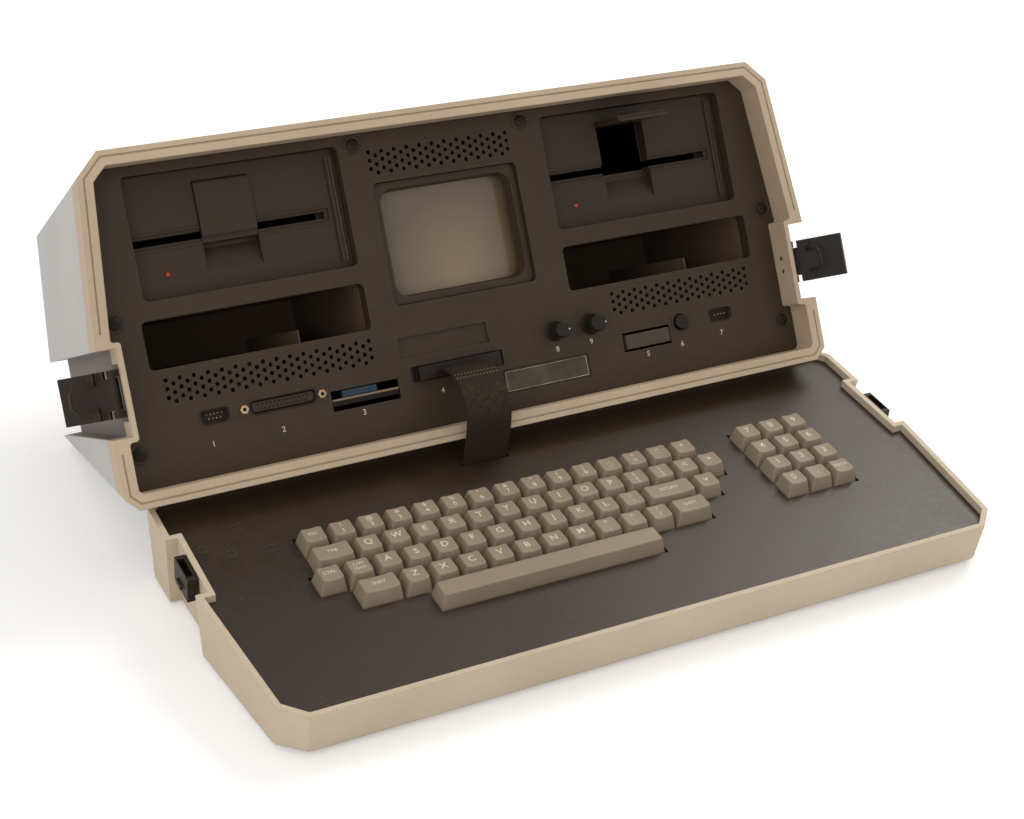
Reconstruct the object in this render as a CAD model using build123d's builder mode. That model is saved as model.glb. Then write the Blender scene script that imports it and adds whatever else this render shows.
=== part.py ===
"""Luggable computer of the early eighties, opened for use.

The main unit leans back and rests on the rear rim of the keyboard unit, which is the carrying lid
taken off and laid in front. +X is to the right, -Y towards the user, +Z up, in millimetres.
"""

import os
from math import cos, radians, sin, sqrt, tan

from build123d import *

os.makedirs("parts", exist_ok=True)

# Main unit -------------------------------------------------------------------------------------
TILT = 27.0  # the front panel leans back from upright
CASE_W = 520.0
RIM_H = 220.0  # height of the front rim, up the panel
CASE_DEPTH = 225.0  # rim face to rear wall
RIM_LIFT = 67.7  # the lower rim edge above the table, on the lid
REAR_DROP = 15.0  # how far the top falls by the rear wall
REAR_INSET = 17.0  # how far each side comes in by the rear wall
SIDE_LEAN = 0.09  # the sides lean in above the channels
CORNER_CUT = 14.4  # slanted top corners
LOWER_CUT = 8.0  # small cut on the lower front corners
CHANNEL_LO = 45.0  # the latch channels, up the panel
CHANNEL_HI = 100.0
CHANNEL_D = 12.5
CASE_WALL = 3.2
REAR_FOOT_H = 3.0
FRAME_DEPTH = 26.0  # the front frame, from the rim back to the seam
RIM_WALL = 9.5
NOTCH_WALL = 3.4  # the rim where the latch channels cut in
LEDGE = 4.5  # what the panel rests against
GROOVE_IN = 3.4  # line round the rim face
GROOVE_W = 1.0
PANEL_SET = 20.0  # panel face behind the rim
PANEL_T = 3.0
FIT = 0.3  # gap round pieces that drop into an opening
RUN = 0.05  # radial gap of a turning fit

# Panel layout, measured from the middle and up from the lower rim edge ---------------------------
DRIVE_X = 147.5
DRIVE_V = 164.5
DRIVE_W = 145.0
DRIVE_H = 79.0
DRIVE_SET = 8.0  # drive face behind the panel face
DRIVE_FACE_T = 10.0
DRIVE_BODY_D = CASE_DEPTH - 65.0  # room for the handle and cables behind
CHASSIS_T = 2.5
SLOT_W = 132.0
SLOT_H = 4.6
SLOT_V = 161.5
MOUTH_X = -7.0  # slot and door sit left of the drive's middle
DOOR_W = 37.0
DOOR_TOP = 195.5
DOOR_BOTTOM = 156.0
DOOR_T = 4.0
DOOR_PROUD = 2.0
DOOR_OPEN = 88.0
SCOOP_H = 19.0
LAMP_X = -52.0
LAMP_V = 140.0
LAMP_R = 1.8
BAY_X = 149.5
BAY_V = 97.5
BAY_W = 150.0
BAY_H = 31.0
BAY_DEPTH = CASE_DEPTH - 80.0
BAY_WALL = 1.6
SCREEN_X = -2.0
SCREEN_V = 135.0
SCREEN_W = 106.0
SCREEN_H = 82.5
GLASS_W = 95.0
GLASS_H = 71.0
GLASS_BULGE = 300.0
TUBE_LENGTH = 150.0
COLLAR = 7.0  # moulded walls behind the panel's big openings
COLLAR_T = 2.0
HOLE_R = 1.75
GRILLES = {
    "grille_top": (-3.0, 190.0, 12, 9.2),
    "grille_left": (-147.0, 67.8, 16, 9.2),
    "grille_right": (161.5, 67.8, 13, 9.2),
}
HOLE_ROW = 5.6
BADGE = (46.0, 29.5, 67.0, 17.0)
TAG = (-25.5, 65.5, 65.0, 14.0)
BADGE_SET = 1.0
TAG_SET = 2.2
BOARD_V = 38.0
BOARD_T = 2.0
BOARD_D = CASE_DEPTH - 90.0
SUPPLY_D = CASE_DEPTH - 133.0
SUPPLY_T = 1.6
PORT_V = 47.0
MODEM_X = -189.5
SERIAL_X = -143.5
CARD_X = -87.0
CARD_W = 48.0
CARD_V = 40.3
CABLE_X = -19.0
VIDEO_X = 127.5
VIDEO_V = 39.3
BATTERY_X = 190.0
BATTERY_V = 46.0
BRIGHT_X = 57.0
BRIGHT_R = 6.4
CONTRAST_X = 85.0
CONTRAST_R = 8.2
KNOB_V = 57.5
KNOB_H = 12.0
KNOB_FLATS = 14
SHAFT_R = 3.0
RESET_X = 156.5
RESET_V = 46.0
RESET_R = 5.4
RESET_TRAVEL = 2.5

# Latches -----------------------------------------------------------------------------------------
LEVER_LEN = 35.0
LEVER_SWING = 45.0  # the right lever stands this far forward of square, the left one this far back
LINK_SWING = 45.0  # each wire link stands off its lever
LEVER_W = 30.0
LEVER_T = 2.6
PIVOT_OUT = 5.5  # pivot from the channel floor
PIVOT_BACK = 9.0  # pivot behind the rim face
KNUCKLE_R = 3.2
PIN_R = 1.5
LINK_R = 1.0
LINK_AT = 13.0  # link pivot along the lever
LINK_LEN = 15.0

# Handle and rear wall ----------------------------------------------------------------------------
HANDLE_W = 150.0
HANDLE_DROP = 46.0
HANDLE_V = 140.0
GRIP_R = 8.0
LUG_W = 16.0
INLET_X = 165.0
INLET_V = 88.0
INLET_W = 62.0
INLET_H = 32.0

# Keyboard unit -----------------------------------------------------------------------------------
WEDGE = 7.0  # slope of its rim
DECK_SHIFT = 17.0  # it lies this far to the right of the main unit
DECK_BACK = 27.0  # its rear rim lies this far behind the main unit's lower rim
DECK_NOTCH = 7.6
DECK_RIM = 3.8
DECK_DRAFT = 5.0
DECK_FLOOR = 3.0
DECK_ROUND = 6.0  # lower front edges
DECK_FOOT = 2.2
BEZEL_SET = 5.0
BEZEL_T = 3.0
PITCH = 19.05
KEY_X0 = -185.5  # left end of the top row
ROW_S = 75.5  # middle of the top row, forward of the rear rim
PAD_X0 = 134.0
KEY_TOP = 4.5  # key tops above the rim plane
KEY_H = 12.5
KEY_GAP = 1.1
KEY_DRAFT = 10.5
KEY_DISH = 1.1
KEY_TRAVEL = 3.5
STEM = 5.0
PLATE_T = 2.0
PLATE_UNDER = 13.0  # switch plate face below the rim plane
WELL_GAP = 0.8
CABLE_W = 33.0
CABLE_T = 3.0
SLIT_S = 31.7  # cable slit, forward of the rear rim

# Where the two units stand -----------------------------------------------------------------------
LEAN_S = sin(radians(TILT))
LEAN_C = cos(radians(TILT))
WEDGE_S = sin(radians(WEDGE))
WEDGE_C = cos(radians(WEDGE))
RIM_Z = RIM_LIFT
REAR_RISE = (REAR_FOOT_H + CASE_DEPTH * LEAN_S - RIM_LIFT) / LEAN_C  # of the bottom, by the rear wall
REAR_Y = REAR_RISE * LEAN_S + CASE_DEPTH * LEAN_C  # rear lower edge behind the lower rim
BACK_TOP_Y = (RIM_H - REAR_DROP) * LEAN_S + CASE_DEPTH * LEAN_C
FRONT_Y = DECK_BACK - RIM_H * WEDGE_C
RIM_Y = -(BACK_TOP_Y + FRONT_Y) / 2  # the pair is centred on its footprint
DECK_Y = RIM_Y + DECK_BACK
DECK_Z = RIM_Z - (RIM_Z - REAR_FOOT_H) * DECK_BACK / REAR_Y - FIT
FRONT = Plane(origin=(0, RIM_Y, RIM_Z), x_dir=(1, 0, 0), z_dir=(0, -LEAN_C, LEAN_S))
DECK = Plane(origin=(DECK_SHIFT, DECK_Y, DECK_Z), x_dir=(1, 0, 0), z_dir=(0, -WEDGE_S, WEDGE_C))
PANEL = FRONT.offset(-PANEL_SET)
FACE = FRONT.offset(-PANEL_SET - DRIVE_SET)
REAR = FRONT.offset(-CASE_DEPTH)
OUTWARD = Axis((0, 0, 0), (0, -LEAN_C, LEAN_S))
UP_PANEL = Axis((0, 0, 0), (0, LEAN_S, LEAN_C))
BACK = Plane(origin=REAR.origin, x_dir=(-1, 0, 0), z_dir=(0, LEAN_C, -LEAN_S))
UP_DECK = Axis((0, 0, 0), (0, -WEDGE_S, WEDGE_C))


def panel_point(x, v, w):
    """A point x to the right, v up the panel and w out of the rim face."""
    return (x, RIM_Y + v * LEAN_S - w * LEAN_C, RIM_Z + v * LEAN_C + w * LEAN_S)


def upward(x, v, w):
    """A plane whose normal runs up the panel; its y runs into the case."""
    return Plane(origin=panel_point(x, v, w), x_dir=(1, 0, 0), z_dir=(0, LEAN_S, LEAN_C))


def sideways(x, v, w):
    """A plane whose normal is +X; its x runs out of the rim face and its y up the panel."""
    return Plane(origin=panel_point(x, v, w), x_dir=(0, -LEAN_C, LEAN_S), z_dir=(-1, 0, 0))


def both(points):
    """Outline points of the right half, and the same mirrored to the left."""
    return points + [(-x, y) for x, y in reversed(points)]


def case_outline(half, bottom, top, lo, cut, notch):
    lean = half - SIDE_LEAN * (top - CORNER_CUT - CHANNEL_HI)
    return both(
        [
            (half - cut, bottom),
            (half, bottom + cut),
            (half, lo),
            (half - notch, lo),
            (half - notch, CHANNEL_HI),
            (half, CHANNEL_HI),
            (lean, top - CORNER_CUT),
            (lean - CORNER_CUT, top),
        ]
    )


def opening_outline(wall, notch):
    """What is open inside the rim: wall from the outer edge, and notch from the latch channels."""
    cut = max(LOWER_CUT - wall * (2 - sqrt(2)), 0.5)
    corner = HALF - SIDE_LEAN * (RIM_H - CORNER_CUT - CHANNEL_HI) + RIM_H - CORNER_CUT - wall * sqrt(2)
    side = HALF - wall * sqrt(1 + SIDE_LEAN**2) + SIDE_LEAN * CHANNEL_HI  # where the lean meets v = 0
    top = RIM_H - wall
    corner_v = (corner - side) / (1 - SIDE_LEAN)
    return both(
        [
            (HALF - wall - cut, wall),
            (HALF - wall, wall + cut),
            (HALF - wall, CHANNEL_LO - notch),
            (HALF - CHANNEL_D - notch, CHANNEL_LO - notch),
            (HALF - CHANNEL_D - notch, CHANNEL_HI + notch),
            (side - SIDE_LEAN * (CHANNEL_HI + notch), CHANNEL_HI + notch),
            (side - SIDE_LEAN * corner_v, corner_v),
            (corner - top, top),
        ]
    )


def cavity_outline(half, bottom, top):
    lean = half - SIDE_LEAN * (top - CORNER_CUT - CHANNEL_HI)
    inner = half - CHANNEL_D - CASE_WALL
    return both(
        [
            (inner, bottom + CASE_WALL),
            (inner, CHANNEL_HI + CASE_WALL),
            (half - CASE_WALL, CHANNEL_HI + CASE_WALL),
            (lean - CASE_WALL, top - CORNER_CUT),
            (lean - CORNER_CUT, top - CASE_WALL),
        ]
    )


HALF = CASE_W / 2
REAR_LO = max(CHANNEL_LO, REAR_RISE + 5)
FRONT_OUTLINE = case_outline(HALF, 0, RIM_H, CHANNEL_LO, LOWER_CUT, CHANNEL_D)
REAR_OUTLINE = case_outline(
    HALF - REAR_INSET, REAR_RISE, RIM_H - REAR_DROP, REAR_LO, 4.0, CHANNEL_D
)

# Case, in two mouldings that meet at a seam --------------------------------------------------------
with BuildPart() as case_form:
    with BuildSketch(FRONT):
        Polygon(*FRONT_OUTLINE, align=None)
    with BuildSketch(REAR):
        Polygon(*REAR_OUTLINE, align=None)
    loft(ruled=True)

with BuildPart() as front_frame:
    add(case_form.part)
    split(bisect_by=FRONT.offset(-FRAME_DEPTH), keep=Keep.TOP)
    with BuildSketch(FRONT):
        Polygon(*opening_outline(RIM_WALL, NOTCH_WALL), align=None)
        fillet(vertices(), 2.2)
    extrude(amount=-(PANEL_SET + PANEL_T), mode=Mode.SUBTRACT)
    with BuildSketch(FRONT):
        Polygon(*opening_outline(RIM_WALL + LEDGE, NOTCH_WALL + LEDGE), align=None)
    extrude(amount=-(FRAME_DEPTH + 1), mode=Mode.SUBTRACT)
    with BuildSketch(FRONT) as groove:
        Polygon(*FRONT_OUTLINE, align=None)
        offset(amount=-GROOVE_IN, kind=Kind.INTERSECTION)
        offset(amount=-GROOVE_W, kind=Kind.INTERSECTION, mode=Mode.SUBTRACT)
        with Locations((-HALF, (CHANNEL_LO + CHANNEL_HI) / 2), (HALF, (CHANNEL_LO + CHANNEL_HI) / 2)):
            Rectangle(2 * (CHANNEL_D + RIM_WALL), CHANNEL_HI - CHANNEL_LO + 2 * RIM_WALL, mode=Mode.SUBTRACT)
    extrude(amount=-1.0, mode=Mode.SUBTRACT)
front_frame.part.label = "front_frame"
export_step(front_frame.part, "parts/front_frame.step")

with BuildPart() as rear_case:
    add(case_form.part)
    split(bisect_by=FRONT.offset(-FRAME_DEPTH), keep=Keep.BOTTOM)
    with BuildSketch(FRONT.offset(-FRAME_DEPTH + 1)):
        Polygon(*cavity_outline(HALF - 1, 2, RIM_H - 2), align=None)
    with BuildSketch(REAR.offset(CASE_WALL)):
        Polygon(
            *cavity_outline(HALF - REAR_INSET, REAR_RISE, RIM_H - REAR_DROP), align=None
        )
    loft(ruled=True, mode=Mode.SUBTRACT)
    with BuildSketch(REAR):
        with Locations((INLET_X, INLET_V)):
            Rectangle(INLET_W, INLET_H)
        with Locations((-150, 150)):
            with GridLocations(9, 0, 10, 1):
                Rectangle(3, 32)
    extrude(amount=CASE_WALL + 1, mode=Mode.SUBTRACT)
rear_case.part.label = "rear_case"
export_step(rear_case.part, "parts/rear_case.step")

# Front panel ---------------------------------------------------------------------------------------
OPENINGS = [
    (-DRIVE_X, DRIVE_V, DRIVE_W, DRIVE_H),
    (DRIVE_X, DRIVE_V, DRIVE_W, DRIVE_H),
    (-BAY_X, BAY_V, BAY_W, BAY_H),
    (BAY_X, BAY_V, BAY_W, BAY_H),
    (SCREEN_X, SCREEN_V, SCREEN_W, SCREEN_H),
]
GRILLE_SIZE = {
    name: (g[2] * g[3] + 4, 3 * HOLE_ROW + 2 * HOLE_R + 0.5) for name, g in GRILLES.items()
}

with BuildPart() as front_panel:
    with BuildSketch(PANEL):
        Polygon(*opening_outline(RIM_WALL + FIT, NOTCH_WALL + FIT), align=None)
        fillet(vertices(), 1.9)
    extrude(amount=-PANEL_T)
    with BuildSketch(PANEL.offset(-PANEL_T)):
        for x, v, w, h in OPENINGS:
            with Locations((x, v)):
                Rectangle(w + 2 * COLLAR_T, h + 2 * COLLAR_T)
    extrude(amount=-COLLAR)
    with BuildSketch(PANEL):
        for x, v, w, h in OPENINGS:
            with Locations((x, v)):
                RectangleRounded(w, h, 3.5)
        for name, (x, v, _, _) in GRILLES.items():
            with Locations((x, v)):
                Rectangle(*GRILLE_SIZE[name])
        with Locations((MODEM_X, PORT_V)):
            Rectangle(20, 10.4)
        with Locations((SERIAL_X, PORT_V)):
            Rectangle(46, 10.4)
        with Locations((CARD_X, CARD_V)):
            Rectangle(CARD_W, 13.4)
        with Locations((CABLE_X, PORT_V)):
            Rectangle(68, 10.4)
        with Locations((VIDEO_X, VIDEO_V)):
            Rectangle(38.6, 13.4)
        with Locations((BATTERY_X, BATTERY_V)):
            Rectangle(19.6, 10.4)
        with Locations((BRIGHT_X, KNOB_V), (CONTRAST_X, KNOB_V)):
            Circle(SHAFT_R + 1)
        with Locations((RESET_X, RESET_V)):
            Circle(RESET_R + FIT)
    extrude(amount=-(PANEL_T + COLLAR + 1), mode=Mode.SUBTRACT)
    with BuildSketch(PANEL):
        with Locations((BADGE[0], BADGE[1])):
            Rectangle(BADGE[2], BADGE[3])
    extrude(amount=-BADGE_SET, mode=Mode.SUBTRACT)
    with BuildSketch(PANEL):
        with Locations((TAG[0], TAG[1])):
            Rectangle(TAG[2], TAG[3])
    extrude(amount=-TAG_SET, mode=Mode.SUBTRACT)
front_panel.part.label = "front_panel"
export_step(front_panel.part, "parts/front_panel.step")

for name, (x, v, columns, step) in GRILLES.items():
    with BuildPart() as grille:
        with BuildSketch(PANEL):
            with Locations((x, v)):
                Rectangle(GRILLE_SIZE[name][0] - 0.2, GRILLE_SIZE[name][1] - 0.2)
            with Locations((x, v + HOLE_ROW / 4)):
                with GridLocations(step, HOLE_ROW, columns, 3):
                    RegularPolygon(HOLE_R, 4, rotation=45, mode=Mode.SUBTRACT)
            with Locations((x, v - HOLE_ROW / 4)):
                with GridLocations(step, HOLE_ROW, columns - 1, 3):
                    RegularPolygon(HOLE_R, 4, rotation=45, mode=Mode.SUBTRACT)
        extrude(amount=-PANEL_T)
    grille.part.label = name
    export_step(grille.part, f"parts/{name}.step")

# Disk drives, side by side ---------------------------------------------------------------------------
DOOR_H = DOOR_TOP - DOOR_BOTTOM
DOOR_PIVOT_V = DOOR_TOP - DOOR_T / 2
DOOR_PIVOT_W = -(PANEL_SET + DRIVE_SET) + DOOR_PROUD - DOOR_T / 2

for side, name in ((-1, "left"), (1, "right")):
    middle = side * DRIVE_X
    mouth = middle + MOUTH_X
    with BuildPart() as drive_face:
        with BuildSketch(FACE):
            with Locations((middle, DRIVE_V)):
                RectangleRounded(DRIVE_W - 2 * FIT, DRIVE_H - 2 * FIT, 3)
        extrude(amount=-DRIVE_FACE_T)
        with BuildSketch(FACE):
            with Locations((mouth, SLOT_V)):
                Rectangle(SLOT_W + 5, SLOT_H + 4)
        extrude(amount=-1.6, mode=Mode.SUBTRACT)
        with BuildSketch(FACE):
            with Locations((mouth, SLOT_V)):
                Rectangle(SLOT_W, SLOT_H)
            with Locations((mouth, (DOOR_TOP + DOOR_BOTTOM) / 2)):
                Rectangle(DOOR_W + 2 * FIT, DOOR_H + 2 * FIT)
            with Locations((middle + LAMP_X, LAMP_V)):
                Circle(LAMP_R + FIT / 3)
        extrude(amount=-(DRIVE_FACE_T + 1), mode=Mode.SUBTRACT)
        with BuildSketch(
            sideways(mouth + DOOR_W / 2 + FIT, DOOR_BOTTOM, -(PANEL_SET + DRIVE_SET))
        ):
            Polygon((1, 0), (-8, 0), (-8, -3), (0, -SCOOP_H), (1, -SCOOP_H), align=None)
        extrude(amount=DOOR_W + 2 * FIT, mode=Mode.SUBTRACT)
        with BuildSketch(FACE):
            with Locations((middle + DRIVE_W / 2 - 8, DRIVE_V)):
                Rectangle(1.6, DRIVE_H - 8)
        extrude(amount=-1.2, mode=Mode.SUBTRACT)
    drive_face.part.label = f"drive_face_{name}"
    export_step(drive_face.part, f"parts/drive_face_{name}.step")

    body_size = (DRIVE_W - 6, DRIVE_H - 9)
    with BuildPart() as drive_body:
        with BuildSketch(FACE.offset(-DRIVE_FACE_T)):
            with Locations((middle, DRIVE_V - 2)):
                Rectangle(*body_size)
        extrude(amount=-DRIVE_BODY_D)
        with BuildSketch(FACE.offset(-DRIVE_FACE_T - CHASSIS_T)):
            with Locations((middle, DRIVE_V - 2)):
                Rectangle(body_size[0] - 2 * CHASSIS_T, body_size[1] - 2 * CHASSIS_T)
        extrude(amount=-(DRIVE_BODY_D - 2 * CHASSIS_T), mode=Mode.SUBTRACT)
        with BuildSketch(FACE.offset(-DRIVE_FACE_T)):
            with Locations((mouth, (DOOR_TOP + DOOR_BOTTOM) / 2)):
                Rectangle(DOOR_W, DOOR_H - 4)
            with Locations((mouth, SLOT_V)):
                Rectangle(SLOT_W - 6, SLOT_H)
        extrude(amount=-(CHASSIS_T + 1), mode=Mode.SUBTRACT)
    drive_body.part.label = f"drive_body_{name}"
    export_step(drive_body.part, f"parts/drive_body_{name}.step")

with BuildPart() as drive_lamps:
    with BuildSketch(FACE.offset(-DRIVE_FACE_T)):
        with Locations((LAMP_X - DRIVE_X, LAMP_V), (LAMP_X + DRIVE_X, LAMP_V)):
            Circle(LAMP_R)
    extrude(amount=DRIVE_FACE_T + 0.8)
    chamfer(drive_lamps.faces().sort_by(OUTWARD)[-2:].edges(), 0.5)
drive_lamps.part.label = "drive_lamps"
export_step(drive_lamps.part, "parts/drive_lamps.step")

# The right drive's door is up, the left one's is shut.
for side, name, opened in ((-1, "left", 0.0), (1, "right", DOOR_OPEN)):
    mouth = side * DRIVE_X + MOUTH_X
    hinge = Axis(panel_point(mouth, DOOR_PIVOT_V, DOOR_PIVOT_W), (1, 0, 0))
    with BuildPart() as drive_door:
        with BuildSketch(sideways(mouth - DOOR_W / 2, DOOR_PIVOT_V, DOOR_PIVOT_W)) as door_profile:
            Circle(DOOR_T / 2)
            with Locations((0, -(DOOR_PIVOT_V - DOOR_BOTTOM) / 2)):
                Rectangle(DOOR_T, DOOR_PIVOT_V - DOOR_BOTTOM)
            with Locations((DOOR_T / 2, DOOR_BOTTOM - DOOR_PIVOT_V)):
                Rectangle(2.4, 4, align=(Align.MAX, Align.MIN), mode=Mode.SUBTRACT)
        extrude(amount=-DOOR_W)
    drive_door.part = drive_door.part.rotate(hinge, -opened)
    drive_door.part.label = f"drive_door_{name}"
    export_step(drive_door.part, f"parts/drive_door_{name}.step")

# Disk bays under the drives ------------------------------------------------------------------------
BAY_BACK = PANEL_SET + PANEL_T + COLLAR
for side, name in ((-1, "left"), (1, "right")):
    with BuildPart() as bay:
        with BuildSketch(FRONT.offset(-BAY_BACK)):
            with Locations((side * BAY_X, BAY_V)):
                Rectangle(BAY_W + 2 * COLLAR_T, BAY_H + 2 * COLLAR_T)
        extrude(amount=-BAY_DEPTH)
        with BuildSketch(FRONT.offset(-BAY_BACK)):
            with Locations((side * BAY_X, BAY_V)):
                Rectangle(BAY_W + 2 * (COLLAR_T - BAY_WALL), BAY_H + 2 * (COLLAR_T - BAY_WALL))
        extrude(amount=-(BAY_DEPTH - BAY_WALL), mode=Mode.SUBTRACT)
        with BuildSketch(FRONT.offset(-BAY_BACK - 12)):
            with Locations((side * BAY_X + 32, BAY_V - BAY_H / 2 + 4)):
                Rectangle(1.2, 9)
        extrude(amount=-(BAY_DEPTH - 30))
    bay.part.label = f"disk_bay_{name}"
    export_step(bay.part, f"parts/disk_bay_{name}.step")

# Screen ----------------------------------------------------------------------------------------------
MASK_T = 7.0
TUBE_CUT = 9.0
TUBE_W = GLASS_W + 6
TUBE_H = GLASS_H + 6
MASK_FACE = PANEL_SET + 4.0
with BuildPart() as screen_mask:
    with BuildSketch(FRONT.offset(-MASK_FACE)):
        with Locations((SCREEN_X, SCREEN_V)):
            Rectangle(SCREEN_W - 2 * FIT, SCREEN_H - 2 * FIT)
        chamfer(vertices(), 2.5)
    extrude(amount=-MASK_T)
    with BuildSketch(FRONT.offset(-MASK_FACE)):
        with Locations((SCREEN_X, SCREEN_V)):
            RectangleRounded(GLASS_W + 2, GLASS_H + 2, 10)
    extrude(amount=-MASK_T, taper=12, mode=Mode.SUBTRACT)
    with BuildSketch(FRONT.offset(-MASK_FACE - MASK_T)):
        with Locations((SCREEN_X, SCREEN_V)):
            Rectangle(TUBE_W + 2 * FIT + 5, TUBE_H + 2 * FIT + 5)
        chamfer(vertices(), TUBE_CUT + 1)
    extrude(amount=-12)
    with BuildSketch(FRONT.offset(-MASK_FACE - MASK_T)):
        with Locations((SCREEN_X, SCREEN_V)):
            Rectangle(TUBE_W + 2 * FIT, TUBE_H + 2 * FIT)
        chamfer(vertices(), TUBE_CUT)
    extrude(amount=-12, mode=Mode.SUBTRACT)
screen_mask.part.label = "screen_mask"
export_step(screen_mask.part, "parts/screen_mask.step")

TUBE_FRONT = MASK_FACE + MASK_T + FIT
with BuildPart() as picture_tube:
    with BuildSketch(FRONT.offset(-TUBE_FRONT)):
        with Locations((SCREEN_X, SCREEN_V)):
            Rectangle(TUBE_W, TUBE_H)
        chamfer(vertices(), TUBE_CUT)
    extrude(amount=-16)
    with BuildSketch(FRONT.offset(-TUBE_FRONT - 16)):
        with Locations((SCREEN_X, SCREEN_V)):
            Rectangle(TUBE_W, TUBE_H)
        chamfer(vertices(), TUBE_CUT)
    with BuildSketch(FRONT.offset(-TUBE_FRONT - 75)):
        with Locations((SCREEN_X, SCREEN_V)):
            Rectangle(26, 26)
        chamfer(vertices(), 8)
    loft(ruled=True)
    with BuildSketch(FRONT.offset(-TUBE_FRONT - 75)):
        with Locations((SCREEN_X, SCREEN_V)):
            Circle(10)
    extrude(amount=-(TUBE_LENGTH - 75))
    with BuildSketch(upward(SCREEN_X, SCREEN_V - TUBE_H, -TUBE_FRONT - GLASS_BULGE)):
        Circle(GLASS_BULGE)
    extrude(amount=2 * TUBE_H, mode=Mode.INTERSECT)
picture_tube.part.label = "picture_tube"
export_step(picture_tube.part, "parts/picture_tube.step")

# Board, supply and sockets -----------------------------------------------------------------------------
BOARD_FRONT = PANEL_SET + PANEL_T + 1.0
with BuildPart() as main_board:
    with BuildSketch(upward(0, BOARD_V, -BOARD_FRONT)):
        with Locations((0, BOARD_D / 2)):
            Rectangle(420, BOARD_D)
    extrude(amount=BOARD_T)
    with BuildSketch(upward(0, BOARD_V, -PANEL_SET - 0.5)):
        with Locations((CARD_X, 0), (VIDEO_X, 0)):
            Rectangle(34, 6, align=(Align.CENTER, Align.MIN))
    extrude(amount=BOARD_T)
main_board.part.label = "main_board"
export_step(main_board.part, "parts/main_board.step")

with BuildPart() as power_supply:
    with BuildSketch(upward(0, BOARD_V + BOARD_T + FIT, -95)):
        Rectangle(124, SUPPLY_D, align=(Align.CENTER, Align.MIN))
    extrude(amount=42)
    with BuildSketch(upward(0, BOARD_V + BOARD_T + FIT + SUPPLY_T, -95 - SUPPLY_T)):
        Rectangle(124 - 2 * SUPPLY_T, SUPPLY_D - 2 * SUPPLY_T, align=(Align.CENTER, Align.MIN))
    extrude(amount=42 - 2 * SUPPLY_T, mode=Mode.SUBTRACT)
    with BuildSketch(upward(0, BOARD_V + BOARD_T + FIT + 42, -95)):
        with Locations((0, SUPPLY_D / 2)):
            with GridLocations(14, 0, 7, 1):
                Rectangle(5, SUPPLY_D - 32)
    extrude(amount=-2, mode=Mode.SUBTRACT)
power_supply.part.label = "power_supply"
export_step(power_supply.part, "parts/power_supply.step")

SOCKETS = {
    "modem_socket": (MODEM_X, PORT_V, 20.0, 10.4, 9, 2, 1.2),
    "serial_socket": (SERIAL_X, PORT_V, 46.0, 10.4, 13, 2, 0.8),
    "battery_socket": (BATTERY_X, BATTERY_V, 19.6, 10.4, 3, 1, 2.0),
}
for name, (x, v, w, h, pins, rows, pin) in SOCKETS.items():
    with BuildPart() as socket:
        with BuildSketch(PANEL.offset(-1.2)):
            with Locations((x, v)):
                Rectangle(w - 2 * FIT, h - 2 * FIT)
            chamfer(vertices(), 1.5)
        extrude(amount=-14)
        with BuildSketch(PANEL.offset(-1.2)):
            with Locations((x, v)):
                Rectangle(w - 4, h - 3.6)
        extrude(amount=-2.2, mode=Mode.SUBTRACT)
        with BuildSketch(PANEL.offset(-3.4)):
            with Locations((x, v)):
                with GridLocations((w - 8) / max(pins - 1, 1), 2.8, min(pins, 5), rows):
                    Rectangle(pin, pin, mode=Mode.ADD)
        extrude(amount=-3, mode=Mode.SUBTRACT)
    socket.part.label = name
    export_step(socket.part, f"parts/{name}.step")

with BuildPart() as serial_jackscrews:
    with BuildSketch(PANEL):
        with Locations((SERIAL_X - 26.5, PORT_V), (SERIAL_X + 26.5, PORT_V)):
            RegularPolygon(3.0, 6)
    extrude(amount=1.6)
    with BuildSketch(PANEL.offset(1.6)):
        with Locations((SERIAL_X - 26.5, PORT_V), (SERIAL_X + 26.5, PORT_V)):
            RegularPolygon(1.3, 8)
    extrude(amount=-1.4, mode=Mode.SUBTRACT)
serial_jackscrews.part.label = "serial_jackscrews"
export_step(serial_jackscrews.part, "parts/serial_jackscrews.step")

with BuildPart() as cable_socket:
    with BuildSketch(PANEL.offset(-1.2)):
        with Locations((CABLE_X, PORT_V)):
            Rectangle(68 - 2 * FIT, 10.4 - 2 * FIT)
    extrude(amount=-14)
    with BuildSketch(PANEL.offset(-1.2)):
        with Locations((CABLE_X, PORT_V)):
            Rectangle(63, 7.4)
    extrude(amount=-8, mode=Mode.SUBTRACT)
cable_socket.part.label = "cable_socket"
export_step(cable_socket.part, "parts/cable_socket.step")

# Knobs and reset button ----------------------------------------------------------------------------------
POT_BACK = PANEL_SET + PANEL_T
with BuildPart() as panel_controls:
    for x in (BRIGHT_X, CONTRAST_X):
        with BuildSketch(FRONT.offset(-POT_BACK)):
            with Locations((x, KNOB_V)):
                RegularPolygon(9, 12)
                Circle(SHAFT_R + RUN, mode=Mode.SUBTRACT)
        extrude(amount=-10)
    with BuildSketch(FRONT.offset(-POT_BACK)):
        with Locations((RESET_X, RESET_V)):
            Rectangle(18, 11.6)
            Circle(RESET_R + FIT, mode=Mode.SUBTRACT)
    extrude(amount=-6)
    with BuildSketch(FRONT.offset(-POT_BACK - 6)):
        with Locations((RESET_X, RESET_V)):
            Rectangle(18, 11.6)
            Circle(2.5 + RUN, mode=Mode.SUBTRACT)
    extrude(amount=-8)
panel_controls.part.label = "panel_controls"
export_step(panel_controls.part, "parts/panel_controls.step")

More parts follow.
